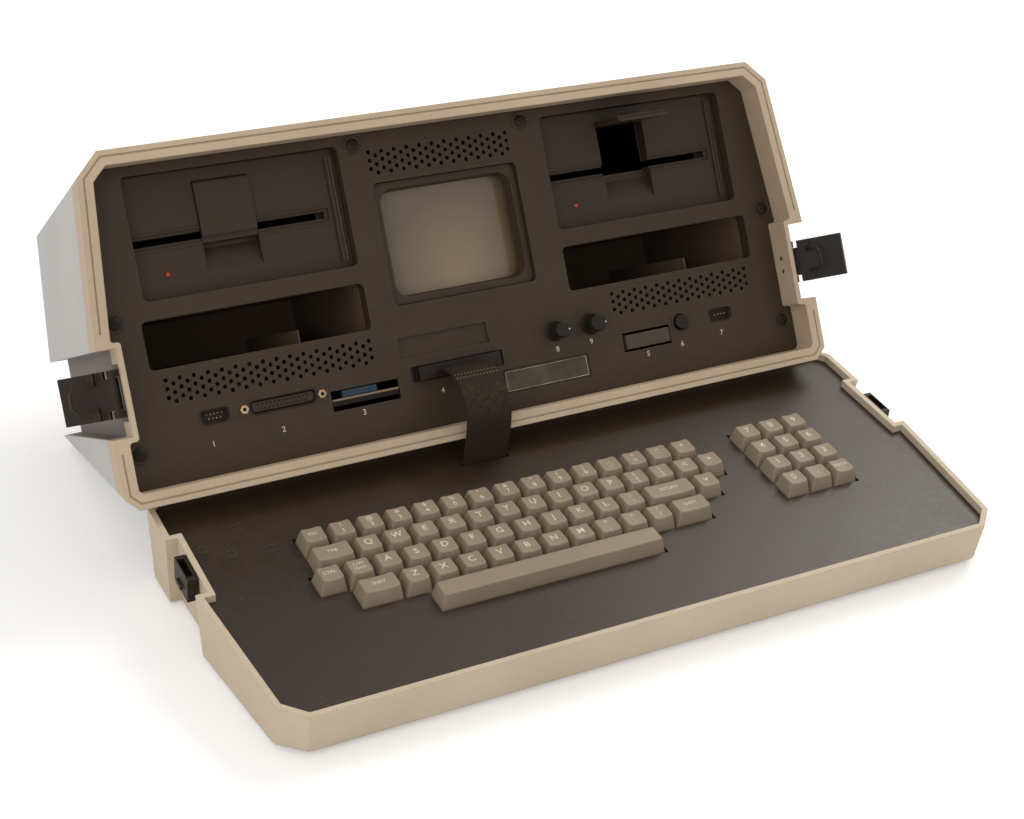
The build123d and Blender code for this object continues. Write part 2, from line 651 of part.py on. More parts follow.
for name, x, r in (("brightness_knob", BRIGHT_X, BRIGHT_R), ("contrast_knob", CONTRAST_X, CONTRAST_R)):
    with BuildPart() as knob:
        with BuildSketch(PANEL.offset(0.6)):
            with Locations((x, KNOB_V)):
                RegularPolygon(r, KNOB_FLATS)
        extrude(amount=KNOB_H, taper=3)
        with BuildSketch(PANEL.offset(KNOB_H + 0.6)):
            with Locations((x, KNOB_V)):
                Rectangle(1.2, r - 1, align=(Align.CENTER, Align.MIN))
        extrude(amount=-0.6, mode=Mode.SUBTRACT)
        with BuildSketch(PANEL.offset(0.6)):
            with Locations((x, KNOB_V)):
                Circle(SHAFT_R)
        extrude(amount=-(PANEL_T + 8))
    knob.part.label = name
    export_step(knob.part, f"parts/{name}.step")

with BuildPart() as reset_button:
    with BuildSketch(PANEL.offset(3.4)):
        with Locations((RESET_X, RESET_V)):
            Circle(RESET_R)
    extrude(amount=-(PANEL_T + 5))
    with BuildSketch(PANEL.offset(3.4)):
        with Locations((RESET_X, RESET_V)):
            Rectangle(1.6, 2 * RESET_R)
    extrude(amount=1.6)
    with BuildSketch(PANEL.offset(-PANEL_T)):
        with Locations((RESET_X, RESET_V)):
            Circle(2.5)
    extrude(amount=-(6 + 5))
reset_button.part.label = "reset_button"
export_step(reset_button.part, "parts/reset_button.step")

# Side latches: a lever swung out, with a wire link folded against it ------------------------------------------
LATCH_V = (CHANNEL_LO + CHANNEL_HI) / 2
FLOOR_X = HALF - CHANNEL_D - REAR_INSET * FRAME_DEPTH / CASE_DEPTH
EAR_W = 4.6
LINK_OFF = LEVER_T / 2 + LINK_R + 0.4  # the wire's middle in front of the lever's


def lever_plane(side, v):
    """Across the lever at v, x along it for the right side and y out of its rear face."""
    square = upward(side * (FLOOR_X + PIVOT_OUT), v, -PIVOT_BACK)
    return Plane(square.location * Location((0, 0, 0), (0, 0, -LEVER_SWING)))


def link_plane(side):
    """Across the wire link's pivot, x along the link for the right side."""
    across = lever_plane(side, LATCH_V).location
    return Plane(across * Location((side * LINK_AT, -LINK_OFF, 0), (0, 0, -side * LINK_SWING)))


def link_route(side):
    """The bent wire's middle line: two short ends in the lever, and a loop with cut corners."""
    out, half = side * LINK_LEN, LEVER_W / 2
    lower = [(0, 0.5 - half), (0, 7.5 - half), (out - side * 3, 7.5 - half), (out, 10.5 - half)]
    route = lower + [(u, -v) for u, v in reversed(lower)]
    return [link_plane(side).from_local_coords((u, 0, v)) for u, v in route]


for side, name in ((-1, "left"), (1, "right")):
    pivot = (side * (FLOOR_X + PIVOT_OUT), -PIVOT_BACK)
    with BuildPart() as latch_bracket:
        for v in (LATCH_V - LEVER_W / 2, LATCH_V + LEVER_W / 2 - EAR_W):
            with BuildSketch(upward(pivot[0], v, pivot[1])):
                Circle(KNUCKLE_R)
                with Locations((-side * PIVOT_OUT / 2, 0)):
                    Rectangle(PIVOT_OUT, 2 * KNUCKLE_R)
            extrude(amount=EAR_W)
        with BuildSketch(upward(pivot[0], LATCH_V - LEVER_W / 2 - 3, pivot[1])):
            with Locations((-side * (PIVOT_OUT - 0.8), 2)):
                Rectangle(1.6, 20)
        extrude(amount=LEVER_W + 6)
        add(case_form.part, mode=Mode.SUBTRACT)
        with BuildSketch(upward(pivot[0], LATCH_V - LEVER_W / 2, pivot[1])):
            Circle(PIN_R)
        extrude(amount=LEVER_W)
    latch_bracket.part.label = f"latch_bracket_{name}"
    export_step(latch_bracket.part, f"parts/latch_bracket_{name}.step")

    with BuildPart() as latch_lever:
        with BuildSketch(lever_plane(side, LATCH_V - LEVER_W / 2 + EAR_W + FIT)):
            Circle(KNUCKLE_R)
        extrude(amount=LEVER_W - 2 * EAR_W - 2 * FIT)
        with BuildSketch(lever_plane(side, LATCH_V - LEVER_W / 2)):
            with Locations((side * (LEVER_LEN / 2 + KNUCKLE_R + 1), 0)):
                Rectangle(LEVER_LEN - KNUCKLE_R, LEVER_T)
            with Locations((side * (LEVER_LEN + 1.6), 1)):
                Rectangle(3.2, LEVER_T + 2)
        extrude(amount=LEVER_W)
        with BuildSketch(lever_plane(side, LATCH_V - LEVER_W / 2 + EAR_W + FIT)):
            with Locations((side * 4, 0)):
                Rectangle(6, LEVER_T)
        extrude(amount=LEVER_W - 2 * EAR_W - 2 * FIT)
        with BuildSketch(lever_plane(side, LATCH_V - LEVER_W / 2)):
            with Locations((side * LINK_AT, -LINK_OFF)):
                Rectangle(4, 3.4)
                Circle(LINK_R + RUN, mode=Mode.SUBTRACT)
        extrude(amount=5)
        with BuildSketch(lever_plane(side, LATCH_V + LEVER_W / 2 - 5)):
            with Locations((side * LINK_AT, -LINK_OFF)):
                Rectangle(4, 3.4)
                Circle(LINK_R + RUN, mode=Mode.SUBTRACT)
        extrude(amount=5)
        with BuildSketch(lever_plane(side, LATCH_V - LEVER_W / 2)):
            Circle(PIN_R + RUN)
        extrude(amount=LEVER_W, mode=Mode.SUBTRACT)
    latch_lever.part.label = f"latch_lever_{name}"
    export_step(latch_lever.part, f"parts/latch_lever_{name}.step")

    with BuildPart() as latch_link:
        with BuildLine() as link_path:
            Polyline(*link_route(side))
        with BuildSketch(Plane(origin=link_path.line @ 0, z_dir=link_path.line % 0)):
            RegularPolygon(LINK_R, 6)
        sweep(transition=Transition.RIGHT)
    latch_link.part.label = f"latch_link_{name}"
    export_step(latch_link.part, f"parts/latch_link_{name}.step")

# Rear wall: carrying handle, mains inlet and switch ---------------------------------------------------------
LUG_X = HANDLE_W / 2 - LUG_W / 2
HANDLE_OUT = GRIP_R + 2
with BuildPart() as handle_lugs:
    for x in (-LUG_X - LUG_W, LUG_X):
        with BuildSketch(sideways(x, HANDLE_V, -CASE_DEPTH - HANDLE_OUT)):
            Circle(7)
            with Locations((HANDLE_OUT / 2, 0)):
                Rectangle(HANDLE_OUT, 22)
            Circle(3, mode=Mode.SUBTRACT)
        extrude(amount=-LUG_W)
handle_lugs.part.label = "handle_lugs"
export_step(handle_lugs.part, "parts/handle_lugs.step")

with BuildPart() as carry_handle:
    with BuildLine() as handle_path:
        FilletPolyline(
            panel_point(-LUG_X + 9, HANDLE_V, -CASE_DEPTH - HANDLE_OUT),
            panel_point(-LUG_X + 9, HANDLE_V - HANDLE_DROP, -CASE_DEPTH - HANDLE_OUT),
            panel_point(LUG_X - 9, HANDLE_V - HANDLE_DROP, -CASE_DEPTH - HANDLE_OUT),
            panel_point(LUG_X - 9, HANDLE_V, -CASE_DEPTH - HANDLE_OUT),
            radius=16,
        )
    with BuildSketch(Plane(origin=handle_path.line @ 0, x_dir=(1, 0, 0), z_dir=handle_path.line % 0)):
        Rectangle(14, 13)
        chamfer(vertices(), 3.5)
    sweep()
    with BuildSketch(sideways(-LUG_X - LUG_W, HANDLE_V, -CASE_DEPTH - HANDLE_OUT)):
        Circle(3 - RUN)
    extrude(amount=-2 * (LUG_X + LUG_W))
    with BuildSketch(sideways(-LUG_X + 16 + FIT, HANDLE_V, -CASE_DEPTH - HANDLE_OUT)):
        Circle(6)
    extrude(amount=-2 * (LUG_X - 16 - FIT), mode=Mode.SUBTRACT)
carry_handle.part.label = "carry_handle"
export_step(carry_handle.part, "parts/carry_handle.step")

with BuildPart() as power_inlet:
    with BuildSketch(BACK):
        with Locations((-INLET_X, INLET_V)):
            RectangleRounded(INLET_W + 8, INLET_H + 8, 3)
    extrude(amount=1.6)
    with BuildSketch(BACK):
        with Locations((-INLET_X, INLET_V)):
            Rectangle(INLET_W - 2 * FIT, INLET_H - 2 * FIT)
    extrude(amount=-20)
    with BuildSketch(BACK.offset(1.6)):
        with Locations((-INLET_X - 14, INLET_V)):
            Rectangle(27.6, 20)
        with Locations((-INLET_X + 17, INLET_V)):
            Rectangle(14, 22)
    extrude(amount=-17, mode=Mode.SUBTRACT)
    with BuildSketch(BACK.offset(-15.4)):
        with Locations((-INLET_X - 14, INLET_V + 3)):
            Rectangle(2, 6)
        with Locations((-INLET_X - 7, INLET_V - 3), (-INLET_X - 21, INLET_V - 3)):
            Rectangle(2, 6)
    extrude(amount=12)
power_inlet.part.label = "power_inlet"
export_step(power_inlet.part, "parts/power_inlet.step")

ROCKER_R = 12.0
ROCKER_TIP = 8.0
with BuildPart() as power_rocker:
    with BuildSketch(sideways(INLET_X - 17 - 6.7, INLET_V, -CASE_DEPTH + 6)):
        Circle(ROCKER_R - 1.5)
        with Locations((12, 0)):
            Rectangle(24, 30, mode=Mode.SUBTRACT)
        with Locations((-ROCKER_R, 0)):
            Circle(5.4, mode=Mode.SUBTRACT)
    extrude(amount=-13.4)
rocker_axis = Axis(panel_point(INLET_X - 17, INLET_V, -CASE_DEPTH + 6), (1, 0, 0))
power_rocker.part = power_rocker.part.rotate(rocker_axis, -ROCKER_TIP)
power_rocker.part.label = "power_rocker"
export_step(power_rocker.part, "parts/power_rocker.step")

with BuildPart() as rear_feet:
    with BuildSketch(Plane.XY):
        with Locations((-195, RIM_Y + REAR_Y - 16), (195, RIM_Y + REAR_Y - 16)):
            RectangleRounded(46, 24, 5)
    extrude(amount=REAR_FOOT_H + 10)
    add(case_form.part, mode=Mode.SUBTRACT)
rear_feet.part.label = "rear_feet"
export_step(rear_feet.part, "parts/rear_feet.step")

# Keyboard unit: the lid's shell, its bezel and the keys ------------------------------------------------------
DECK_OUTLINE = [
    (x, v - RIM_H)
    for x, v in case_outline(HALF, 0, RIM_H, CHANNEL_LO, LOWER_CUT, DECK_NOTCH)
]
DECK_OUTLINE = [(x, -RIM_H - y) for x, y in DECK_OUTLINE]
DECK_DEEP = 75.0

with BuildPart() as deck_form:
    with BuildSketch(DECK):
        Polygon(*DECK_OUTLINE, align=None)
    with BuildSketch(DECK.offset(-DECK_DEEP)):
        Polygon(*DECK_OUTLINE, align=None)
        offset(amount=-DECK_DRAFT, kind=Kind.INTERSECTION)
    loft(ruled=True)
    split(bisect_by=Plane.XY.offset(DECK_FOOT), keep=Keep.TOP)
    lower_edges = deck_form.faces().sort_by(Axis.Z)[0].outer_wire().edges()
    fillet(lower_edges.filter_by(lambda e: e.center().Y < DECK_Y - 150), DECK_ROUND)

with BuildPart() as deck_hollow:
    with BuildSketch(DECK):
        Polygon(*DECK_OUTLINE, align=None)
        offset(amount=-(DECK_RIM + DECK_DRAFT), kind=Kind.INTERSECTION)
    extrude(amount=-DECK_DEEP)
    split(bisect_by=Plane.XY.offset(DECK_FOOT + DECK_FLOOR), keep=Keep.TOP)

# Posts that carry the switch plate
with BuildPart() as screw_posts:
    with BuildSketch(DECK.offset(-(PLATE_UNDER + PLATE_T))):
        with Locations((0, -115)):
            with GridLocations(400, 112, 2, 2):
                RegularPolygon(4.5, 8)
    extrude(amount=-60)
    split(bisect_by=Plane.XY.offset(DECK_FOOT + 1), keep=Keep.TOP)

with BuildPart() as deck_case:
    add(deck_form.part)
    with BuildSketch(DECK):
        Polygon(*DECK_OUTLINE, align=None)
        offset(amount=-DECK_RIM, kind=Kind.INTERSECTION)
    extrude(amount=-(BEZEL_SET + BEZEL_T), mode=Mode.SUBTRACT)
    add(deck_hollow.part, mode=Mode.SUBTRACT)
    add(screw_posts.part)
deck_case.part.label = "keyboard_case"
export_step(deck_case.part, "parts/keyboard_case.step")


def keys_at(row, spans):
    """Key middles and widths for spans of (start, width) in key pitches."""
    s = ROW_S + row * PITCH
    return [(KEY_X0 + (u + w / 2) * PITCH, -s, w * PITCH) for u, w in spans]


ROW_1 = keys_at(0, [(u, 1) for u in range(15)])
ROW_2 = keys_at(1, [(0, 1.5)] + [(1.5 + u, 1) for u in range(14)])
ROW_3 = keys_at(2, [(-0.25, 1)] + [(1.75 + u, 1) for u in range(10)] + [(13.75, 1)])
ROW_4 = keys_at(3, [(2.25 + u, 1) for u in range(10)])
ALPHA_LOCK = keys_at(2, [(0.75, 1)])
RETURN = keys_at(2, [(11.75, 2)])
SHIFT_LEFT = keys_at(3, [(0.75, 1.5)])
SHIFT_RIGHT = keys_at(3, [(12.25, 1.5)])
SPACE = keys_at(4, [(3.0, 8.25)])
PAD = [
    (PAD_X0 + (c + 0.5) * PITCH, -(ROW_S + r * PITCH), PITCH)
    for r in range(4)
    for c in range(3)
    if (r, c) != (3, 2)
]
ENTER = [(PAD_X0 + 2.5 * PITCH, -(ROW_S + 3 * PITCH), PITCH)]
KEY_NODES = {
    "keys_row_1": ROW_1,
    "keys_row_2": ROW_2,
    "keys_row_3": ROW_3,
    "keys_row_4": ROW_4,
    "alpha_lock_key": ALPHA_LOCK,
    "return_key": RETURN,
    "left_shift_key": SHIFT_LEFT,
    "right_shift_key": SHIFT_RIGHT,
    "space_bar": SPACE,
    "keypad_keys": PAD,
    "keypad_enter_key": ENTER,
}
ALL_KEYS = [key for keys in KEY_NODES.values() for key in keys]
WELL = PITCH + 2 * WELL_GAP - KEY_GAP
STEM_ROWS = [
    ROW_1,
    ROW_2,
    ROW_3[:1] + ALPHA_LOCK + ROW_3[1:-1] + RETURN + ROW_3[-1:],
    SHIFT_LEFT + ROW_4 + SHIFT_RIGHT,
    SPACE,
    *[[key for key in PAD if key[1] == -(ROW_S + r * PITCH)] for r in range(3)],
    [key for key in PAD + ENTER if key[1] == -(ROW_S + 3 * PITCH)],
]

with BuildPart() as keyboard_bezel:
    with BuildSketch(DECK.offset(-BEZEL_SET)):
        Polygon(*DECK_OUTLINE, align=None)
        offset(amount=-(DECK_RIM + FIT), kind=Kind.INTERSECTION)
    extrude(amount=-BEZEL_T)
    with BuildSketch(DECK.offset(-BEZEL_SET)):
        for x, y, w in ALL_KEYS:
            with Locations((x, y)):
                Rectangle(w + 2 * WELL_GAP - KEY_GAP + 0.6, WELL + 0.6)
        with Locations((CABLE_X - DECK_SHIFT, -SLIT_S)):
            Rectangle(CABLE_W + 2, CABLE_T + 2)
    extrude(amount=-BEZEL_T, mode=Mode.SUBTRACT)
keyboard_bezel.part.label = "keyboard_bezel"
export_step(keyboard_bezel.part, "parts/keyboard_bezel.step")

with BuildPart() as switch_plate:
    with BuildSketch(DECK.offset(-PLATE_UNDER)):
        with Locations((0, -115)):
            Rectangle(424, 124)
        for keys in STEM_ROWS:
            left, right = min(k[0] for k in keys), max(k[0] for k in keys)
            with Locations(((left + right) / 2, keys[0][1])):
                Rectangle(right - left + STEM + 2 * FIT, STEM + 2 * FIT, mode=Mode.SUBTRACT)
    extrude(amount=-PLATE_T)
switch_plate.part.label = "switch_plate"
export_step(switch_plate.part, "parts/switch_plate.step")

with BuildPart() as key_circuit:
    with BuildSketch(DECK.offset(-(PLATE_UNDER + PLATE_T + 5))):
        with Locations((-21, -112)):
            Rectangle(342, 96)
    extrude(amount=-1.6)
    with BuildSketch(DECK.offset(-(PLATE_UNDER + PLATE_T))):
        with Locations((-188.5, -69), (-188.5, -155), (127.5, -69), (127.5, -155)):
            RegularPolygon(2.2, 6)
    extrude(amount=-5)
key_circuit.part.label = "key_circuit"
export_step(key_circuit.part, "parts/key_circuit.step")

KEY_BASE = KEY_TOP - KEY_H


def keycap(width):
    """One key cap with its stem, standing on the middle of its pitch square."""
    wide = width - KEY_GAP
    deep = PITCH - KEY_GAP
    with BuildPart() as cap:
        with BuildSketch(Plane.XY):
            Rectangle(wide, deep)
        extrude(amount=KEY_H, taper=KEY_DRAFT)
        if width < 3 * PITCH:
            rim = wide / 2 - KEY_H * tan(radians(KEY_DRAFT))
            with BuildSketch(Plane.XZ.offset(-deep)):
                Polygon(
                    (-rim, KEY_H + 1), (-rim, KEY_H), (-rim / 2.6, KEY_H - KEY_DISH),
                    (rim / 2.6, KEY_H - KEY_DISH), (rim, KEY_H), (rim, KEY_H + 1), align=None,
                )
            extrude(amount=2 * deep, mode=Mode.SUBTRACT)
        with BuildSketch(Plane.XY):
            Rectangle(STEM, STEM)
        extrude(amount=-(KEY_BASE + PLATE_UNDER + PLATE_T + 1))
    return cap.part


for name, keys in KEY_NODES.items():
    with BuildPart(DECK.offset(KEY_BASE)) as key_group:
        for x, y, w in keys:
            with Locations((x, y, 0)):
                add(keycap(w))
    key_group.part.label = name
    export_step(key_group.part, f"parts/{name}.step")

KEEPER_L = 24.0
KEEPER_H = 17.0
for side, name in ((-1, "left"), (1, "right")):
    with BuildPart() as keeper:
        with BuildSketch(DECK.offset(-1)):
            with Locations((side * (HALF - DECK_NOTCH / 2), -LATCH_V)):
                Rectangle(DECK_NOTCH - 0.6, KEEPER_L)
        extrude(amount=-KEEPER_H)
        with BuildSketch(DECK.offset(-1)):
            with Locations((side * (HALF - DECK_NOTCH / 2 + 0.6), -LATCH_V)):
                Rectangle(DECK_NOTCH - 3, KEEPER_L - 6)
        extrude(amount=-8, mode=Mode.SUBTRACT)
        with BuildSketch(DECK.offset(-KEEPER_H + 3)):
            with Locations((side * (HALF - DECK_NOTCH / 2), -LATCH_V)):
                Rectangle(DECK_NOTCH + 3, 8)
        extrude(amount=3)
        add(deck_form.part, mode=Mode.SUBTRACT)
    keeper.part.label = f"latch_keeper_{name}"
    export_step(keeper.part, f"parts/latch_keeper_{name}.step")

with BuildPart() as keyboard_feet:
    with BuildSketch(Plane.XY):
        for x, s in ((-215, 30), (215, 30), (-205, 195), (205, 195)):
            with Locations((DECK_SHIFT + x, DECK_Y - s)):
                Circle(8)
    extrude(amount=DECK_FOOT)
keyboard_feet.part.label = "keyboard_feet"
export_step(keyboard_feet.part, "parts/keyboard_feet.step")

# Flat cable from the main unit's socket into the keyboard unit ---------------------------------------------------
with BuildPart() as cable_plug:
    with BuildSketch(PANEL.offset(-9 + FIT)):
        with Locations((CABLE_X, PORT_V)):
            Rectangle(62, 6.4)
    extrude(amount=9 - FIT)
    with BuildSketch(PANEL):
        with Locations((CABLE_X, PORT_V)):
            Rectangle(60, 9)
    extrude(amount=5)
cable_plug.part.label = "cable_plug"
export_step(cable_plug.part, "parts/cable_plug.step")

with BuildPart() as cable_clamp:
    with BuildSketch(DECK.offset(-BEZEL_SET - BEZEL_T)):
        with Locations((CABLE_X - DECK_SHIFT, -SLIT_S)):
            Rectangle(CABLE_W + 14, CABLE_T + 9)
            Rectangle(CABLE_W + 2 * FIT, CABLE_T + 2 * FIT, mode=Mode.SUBTRACT)
    extrude(amount=-10)
cable_clamp.part.label = "cable_clamp"
export_step(cable_clamp.part, "parts/cable_clamp.step")


def deck_point(x, s, n):
    """A point on the keyboard unit: s forward of its rear rim and n above its rim plane."""
    return (x, DECK_Y - s * WEDGE_C - n * WEDGE_S, DECK_Z - s * WEDGE_S + n * WEDGE_C)


CABLE_ROUTE = [
    panel_point(CABLE_X, PORT_V, -PANEL_SET + 5),
    panel_point(CABLE_X, PORT_V, -3.0),
    panel_point(CABLE_X, PORT_V - 6.5, 9.5),
    panel_point(CABLE_X, PORT_V - 18.5, 17.0),
    panel_point(CABLE_X, PORT_V - 32.5, 17.5),
    panel_point(CABLE_X, PORT_V - 44.5, 11.0),
    deck_point(CABLE_X, SLIT_S + 0.6, 8.0),
    deck_point(CABLE_X, SLIT_S, -3.0),
    deck_point(CABLE_X, SLIT_S, -BEZEL_SET - BEZEL_T - 8),
]


def tangent_radii(route):
    """As large a radius at each corner as its two runs allow."""
    points = [Vector(*p) for p in route]
    radii = []
    for a, b, c in zip(points, points[1:], points[2:]):
        turn = radians((b - a).get_angle(c - b))
        radii.append(0.45 * min((b - a).length, (c - b).length) / tan(turn / 2))
    return radii


CABLE_RADII = tangent_radii(CABLE_ROUTE)
print("cable radii", [round(r, 1) for r in CABLE_RADII])
with BuildPart() as keyboard_cable:
    with BuildLine() as cable_line:
        FilletPolyline(*CABLE_ROUTE, radius=CABLE_RADII)
    with BuildSketch(Plane(origin=cable_line.line @ 0, x_dir=(1, 0, 0), z_dir=cable_line.line % 0)):
        Rectangle(CABLE_W, CABLE_T)
    sweep()
CABLE_LENGTH = sum(edge.length for edge in cable_line.edges())
SWEPT = CABLE_W * CABLE_T * CABLE_LENGTH
print("cable length", round(CABLE_LENGTH, 1))
print("cable volume over section times length", round(keyboard_cable.part.volume / SWEPT, 4))
keyboard_cable.part.label = "keyboard_cable"
export_step(keyboard_cable.part, "parts/keyboard_cable.step")
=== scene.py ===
"""The looks of the luggable computer, laid over its fixed frame. Lengths are in millimetres."""

from math import cos, pi, radians, sin, tan

import bpy
from mathutils import Matrix, Vector


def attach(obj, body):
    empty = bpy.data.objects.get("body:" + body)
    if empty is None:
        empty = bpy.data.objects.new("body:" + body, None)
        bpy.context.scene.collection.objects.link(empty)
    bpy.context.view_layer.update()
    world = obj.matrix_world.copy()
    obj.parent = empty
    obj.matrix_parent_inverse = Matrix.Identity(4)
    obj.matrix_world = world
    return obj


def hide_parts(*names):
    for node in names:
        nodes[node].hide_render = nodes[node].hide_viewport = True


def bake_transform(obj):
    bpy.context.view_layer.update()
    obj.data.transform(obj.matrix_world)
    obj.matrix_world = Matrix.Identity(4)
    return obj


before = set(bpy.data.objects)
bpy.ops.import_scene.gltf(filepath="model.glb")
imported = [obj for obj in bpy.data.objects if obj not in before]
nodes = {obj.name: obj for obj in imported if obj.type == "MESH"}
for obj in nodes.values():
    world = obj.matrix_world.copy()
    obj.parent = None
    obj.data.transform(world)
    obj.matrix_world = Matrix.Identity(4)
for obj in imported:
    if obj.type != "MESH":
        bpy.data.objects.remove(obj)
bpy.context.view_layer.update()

# Where things are ----------------------------------------------------------------------------------
MM = 0.001
LEAN, WEDGE = radians(27), radians(7)
DECK_SHIFT = 17.0
CASE_DEPTH, REAR_DROP, RIM_H, DECK_BACK, FOOT_H, RIM_Z = 225.0, 15.0, 220.0, 27.0, 3.0, 67.7
REAR_RISE = (FOOT_H + CASE_DEPTH * sin(LEAN) - RIM_Z) / cos(LEAN)
REAR_Y = REAR_RISE * sin(LEAN) + CASE_DEPTH * cos(LEAN)
RIM_Y = -((RIM_H - REAR_DROP) * sin(LEAN) + CASE_DEPTH * cos(LEAN) + DECK_BACK - RIM_H * cos(WEDGE)) / 2
DECK_Y = RIM_Y + DECK_BACK
DECK_Z = RIM_Z - (RIM_Z - FOOT_H) * DECK_BACK / REAR_Y - 0.3
SIDE_INSET = 17.0 / CASE_DEPTH  # how far the case's sides draw in for each unit of depth
PANEL_W, FACE_W = -20.0, -28.0  # panel face and drive face, out of the rim plane


def frame_at(x, y, z, turn):
    """A frame whose x is +X, whose y climbs the surface and whose z stands out of it."""
    c, s = cos(turn), sin(turn)
    return Matrix(((1, 0, 0, x), (0, s, -c, y), (0, c, s, z), (0, 0, 0, 1)))


RIM = frame_at(0, RIM_Y, RIM_Z, LEAN)  # x across, y up the panel, z out of the rim plane
DECK = frame_at(DECK_SHIFT, DECK_Y, DECK_Z, pi / 2 - WEDGE)  # y towards the rear rim, z up


def spot(base, x, y, z=0.0):
    return base @ Vector((x, y, z)) * MM


# Meshes --------------------------------------------------------------------------------------------
class Shape:
    """Points and faces in one local frame, in millimetres, gathered into one piece."""

    def __init__(self, base):
        self.base, self.points, self.faces, self.finish, self.smooth = base, [], [], [], []

    def add(self, points, faces, finish=0, smooth=True):
        start = len(self.points)
        self.points += [Vector(p) for p in points]
        self.faces += [[start + i for i in face] for face in faces]
        self.finish += [finish] * len(faces)
        self.smooth += [smooth] * len(faces)

    def loft(self, rings, finish=0, smooth=True, first=True, last=True):
        """Joins rings of as many points each; first and last say which ends get a cap."""
        n = len(rings[0])
        faces = []
        for r in range(len(rings) - 1):
            for i in range(n):
                j = (i + 1) % n
                a, b = r * n, (r + 1) * n
                faces.append([a + i, a + j, b + j, b + i])
        self.add([p for ring in rings for p in ring], faces, finish, smooth)
        start = len(self.points) - n * len(rings)
        for wanted, ring in ((first, 0), (last, len(rings) - 1)):
            if wanted:
                loop = [start + ring * n + i for i in range(n)]
                self.faces.append(loop[::-1] if ring == 0 else loop)
                self.finish.append(finish)
                self.smooth.append(False)

    def turned(self, x, y, profile, steps=32, finish=0, wave=None, last=True):
        """A turned form about the frame's z at x, y; profile lists (radius, height)."""
        rings = []
        for radius, z in profile:
            ring = []
            for i in range(steps):
                a = 2 * pi * i / steps
                r = radius * (1 + wave(a, z) if wave else 1)
                ring.append((x + r * cos(a), y + r * sin(a), z))
            rings.append(ring)
        self.loft(rings, finish, first=False, last=last)

    def slab(self, outline, low, high, edge=0.4, finish=0, steps=3):
        """An upright outline with a rounded upper edge."""
        rings = [[(x, y, low) for x, y in outline]]
        for k in range(steps + 1):
            a = pi / 2 * k / steps
            ring = inset(outline, edge * (1 - cos(a)))
            rings.append([(x, y, high - edge + edge * sin(a)) for x, y in ring])
        self.loft(rings, finish)

    def build(self, name, body, slots, replaces=(), slot=None):
        """Makes the piece, rides it on its body and says which nodes it stands for."""
        mesh = bpy.data.meshes.new(name)
        mesh.from_pydata([self.base @ p * MM for p in self.points], [], self.faces)
        mesh.polygons.foreach_set("material_index", self.finish)
        mesh.polygons.foreach_set("use_smooth", self.smooth)
        mesh.validate()
        mesh.update()
        for material in slots:
            mesh.materials.append(material)
        piece = bpy.data.objects.new(name, mesh)
        bpy.context.scene.collection.objects.link(piece)
        if body:
            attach(piece, body)
        if replaces:
            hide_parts(*replaces)
        return piece


def inset(outline, amount):
    """The outline moved inwards, corner by corner."""
    n, moved = len(outline), []
    for i in range(n):
        a, b, c = (Vector(outline[(i + k) % n]) for k in (-1, 0, 1))
        u, v = (b - a).normalized(), (c - b).normalized()
        normal = Vector((-u.y, u.x)) + Vector((-v.y, v.x))
        scale = amount * 2 / max(normal.length_squared, 0.2)
        moved.append(tuple(b + normal * scale))
    return moved


def rounded(w, h, r, x=0.0, y=0.0, corner=5, along=1):
    """A rounded rectangle's outline, anticlockwise, with extra points along its longer runs."""
    hw, hh = w / 2, h / 2
    r = min(r, hw - 0.01, hh - 0.01)
    points = []
    for k, (cx, cy) in enumerate(((hw - r, hh - r), (r - hw, hh - r), (r - hw, r - hh), (hw - r, r - hh))):
        for i in range(corner):
            a = pi / 2 * (k + i / (corner - 1))
            points.append((x + cx + r * cos(a), y + cy + r * sin(a)))
        nx, ny = ((r - hw, hh), (-hw, r - hh), (hw - r, -hh), (hw, hh - r))[k]
        px, py = points[-1]
        if k % 2 == 0:
            points += [(px + (x + nx - px) * t / along, py) for t in range(1, along)]
    return points


def circle(x, y, r, steps=12):
    return [(x + r * cos(2 * pi * i / steps), y + r * sin(2 * pi * i / steps)) for i in range(steps)]


def flattened(holder):
    """A curve object's mesh in its own frame; the curve object itself goes."""
    scene = bpy.context.scene
    scene.collection.objects.link(holder)
    bpy.context.view_layer.update()
    mesh = bpy.data.meshes.new_from_object(holder.evaluated_get(bpy.context.evaluated_depsgraph_get()))
    mesh.transform(holder.matrix_world)
    bpy.data.objects.remove(holder)
    return mesh


class Letters:
    """Flat lettering, made once for each word and size."""

    def __init__(self):
        self.made = {}

    def outline(self, word, size):
        key = (word, size)
        if key not in self.made:
            curve = bpy.data.curves.new("lettering", "FONT")
            curve.body, curve.size = word, size
            curve.align_x, curve.align_y = "CENTER", "CENTER"
            curve.resolution_u, curve.space_character, curve.offset = 3, 1.08, 0.01 * size
            flat = flattened(bpy.data.objects.new("lettering", curve))
            points = [tuple(v.co.xy) for v in flat.vertices]
            self.made[key] = (points, [list(p.vertices) for p in flat.polygons])
        return self.made[key]

    def write(self, shape, word, size, x, y, height, finish, wide=1.0):
        """Puts a word on a shape; height gives z at a point of the surface."""
        points, faces = self.outline(word, size)
        placed = [(x + px * wide, y + py, height(x + px * wide, y + py)) for px, py in points]
        shape.add(placed, faces, finish, smooth=False)


letters = Letters()


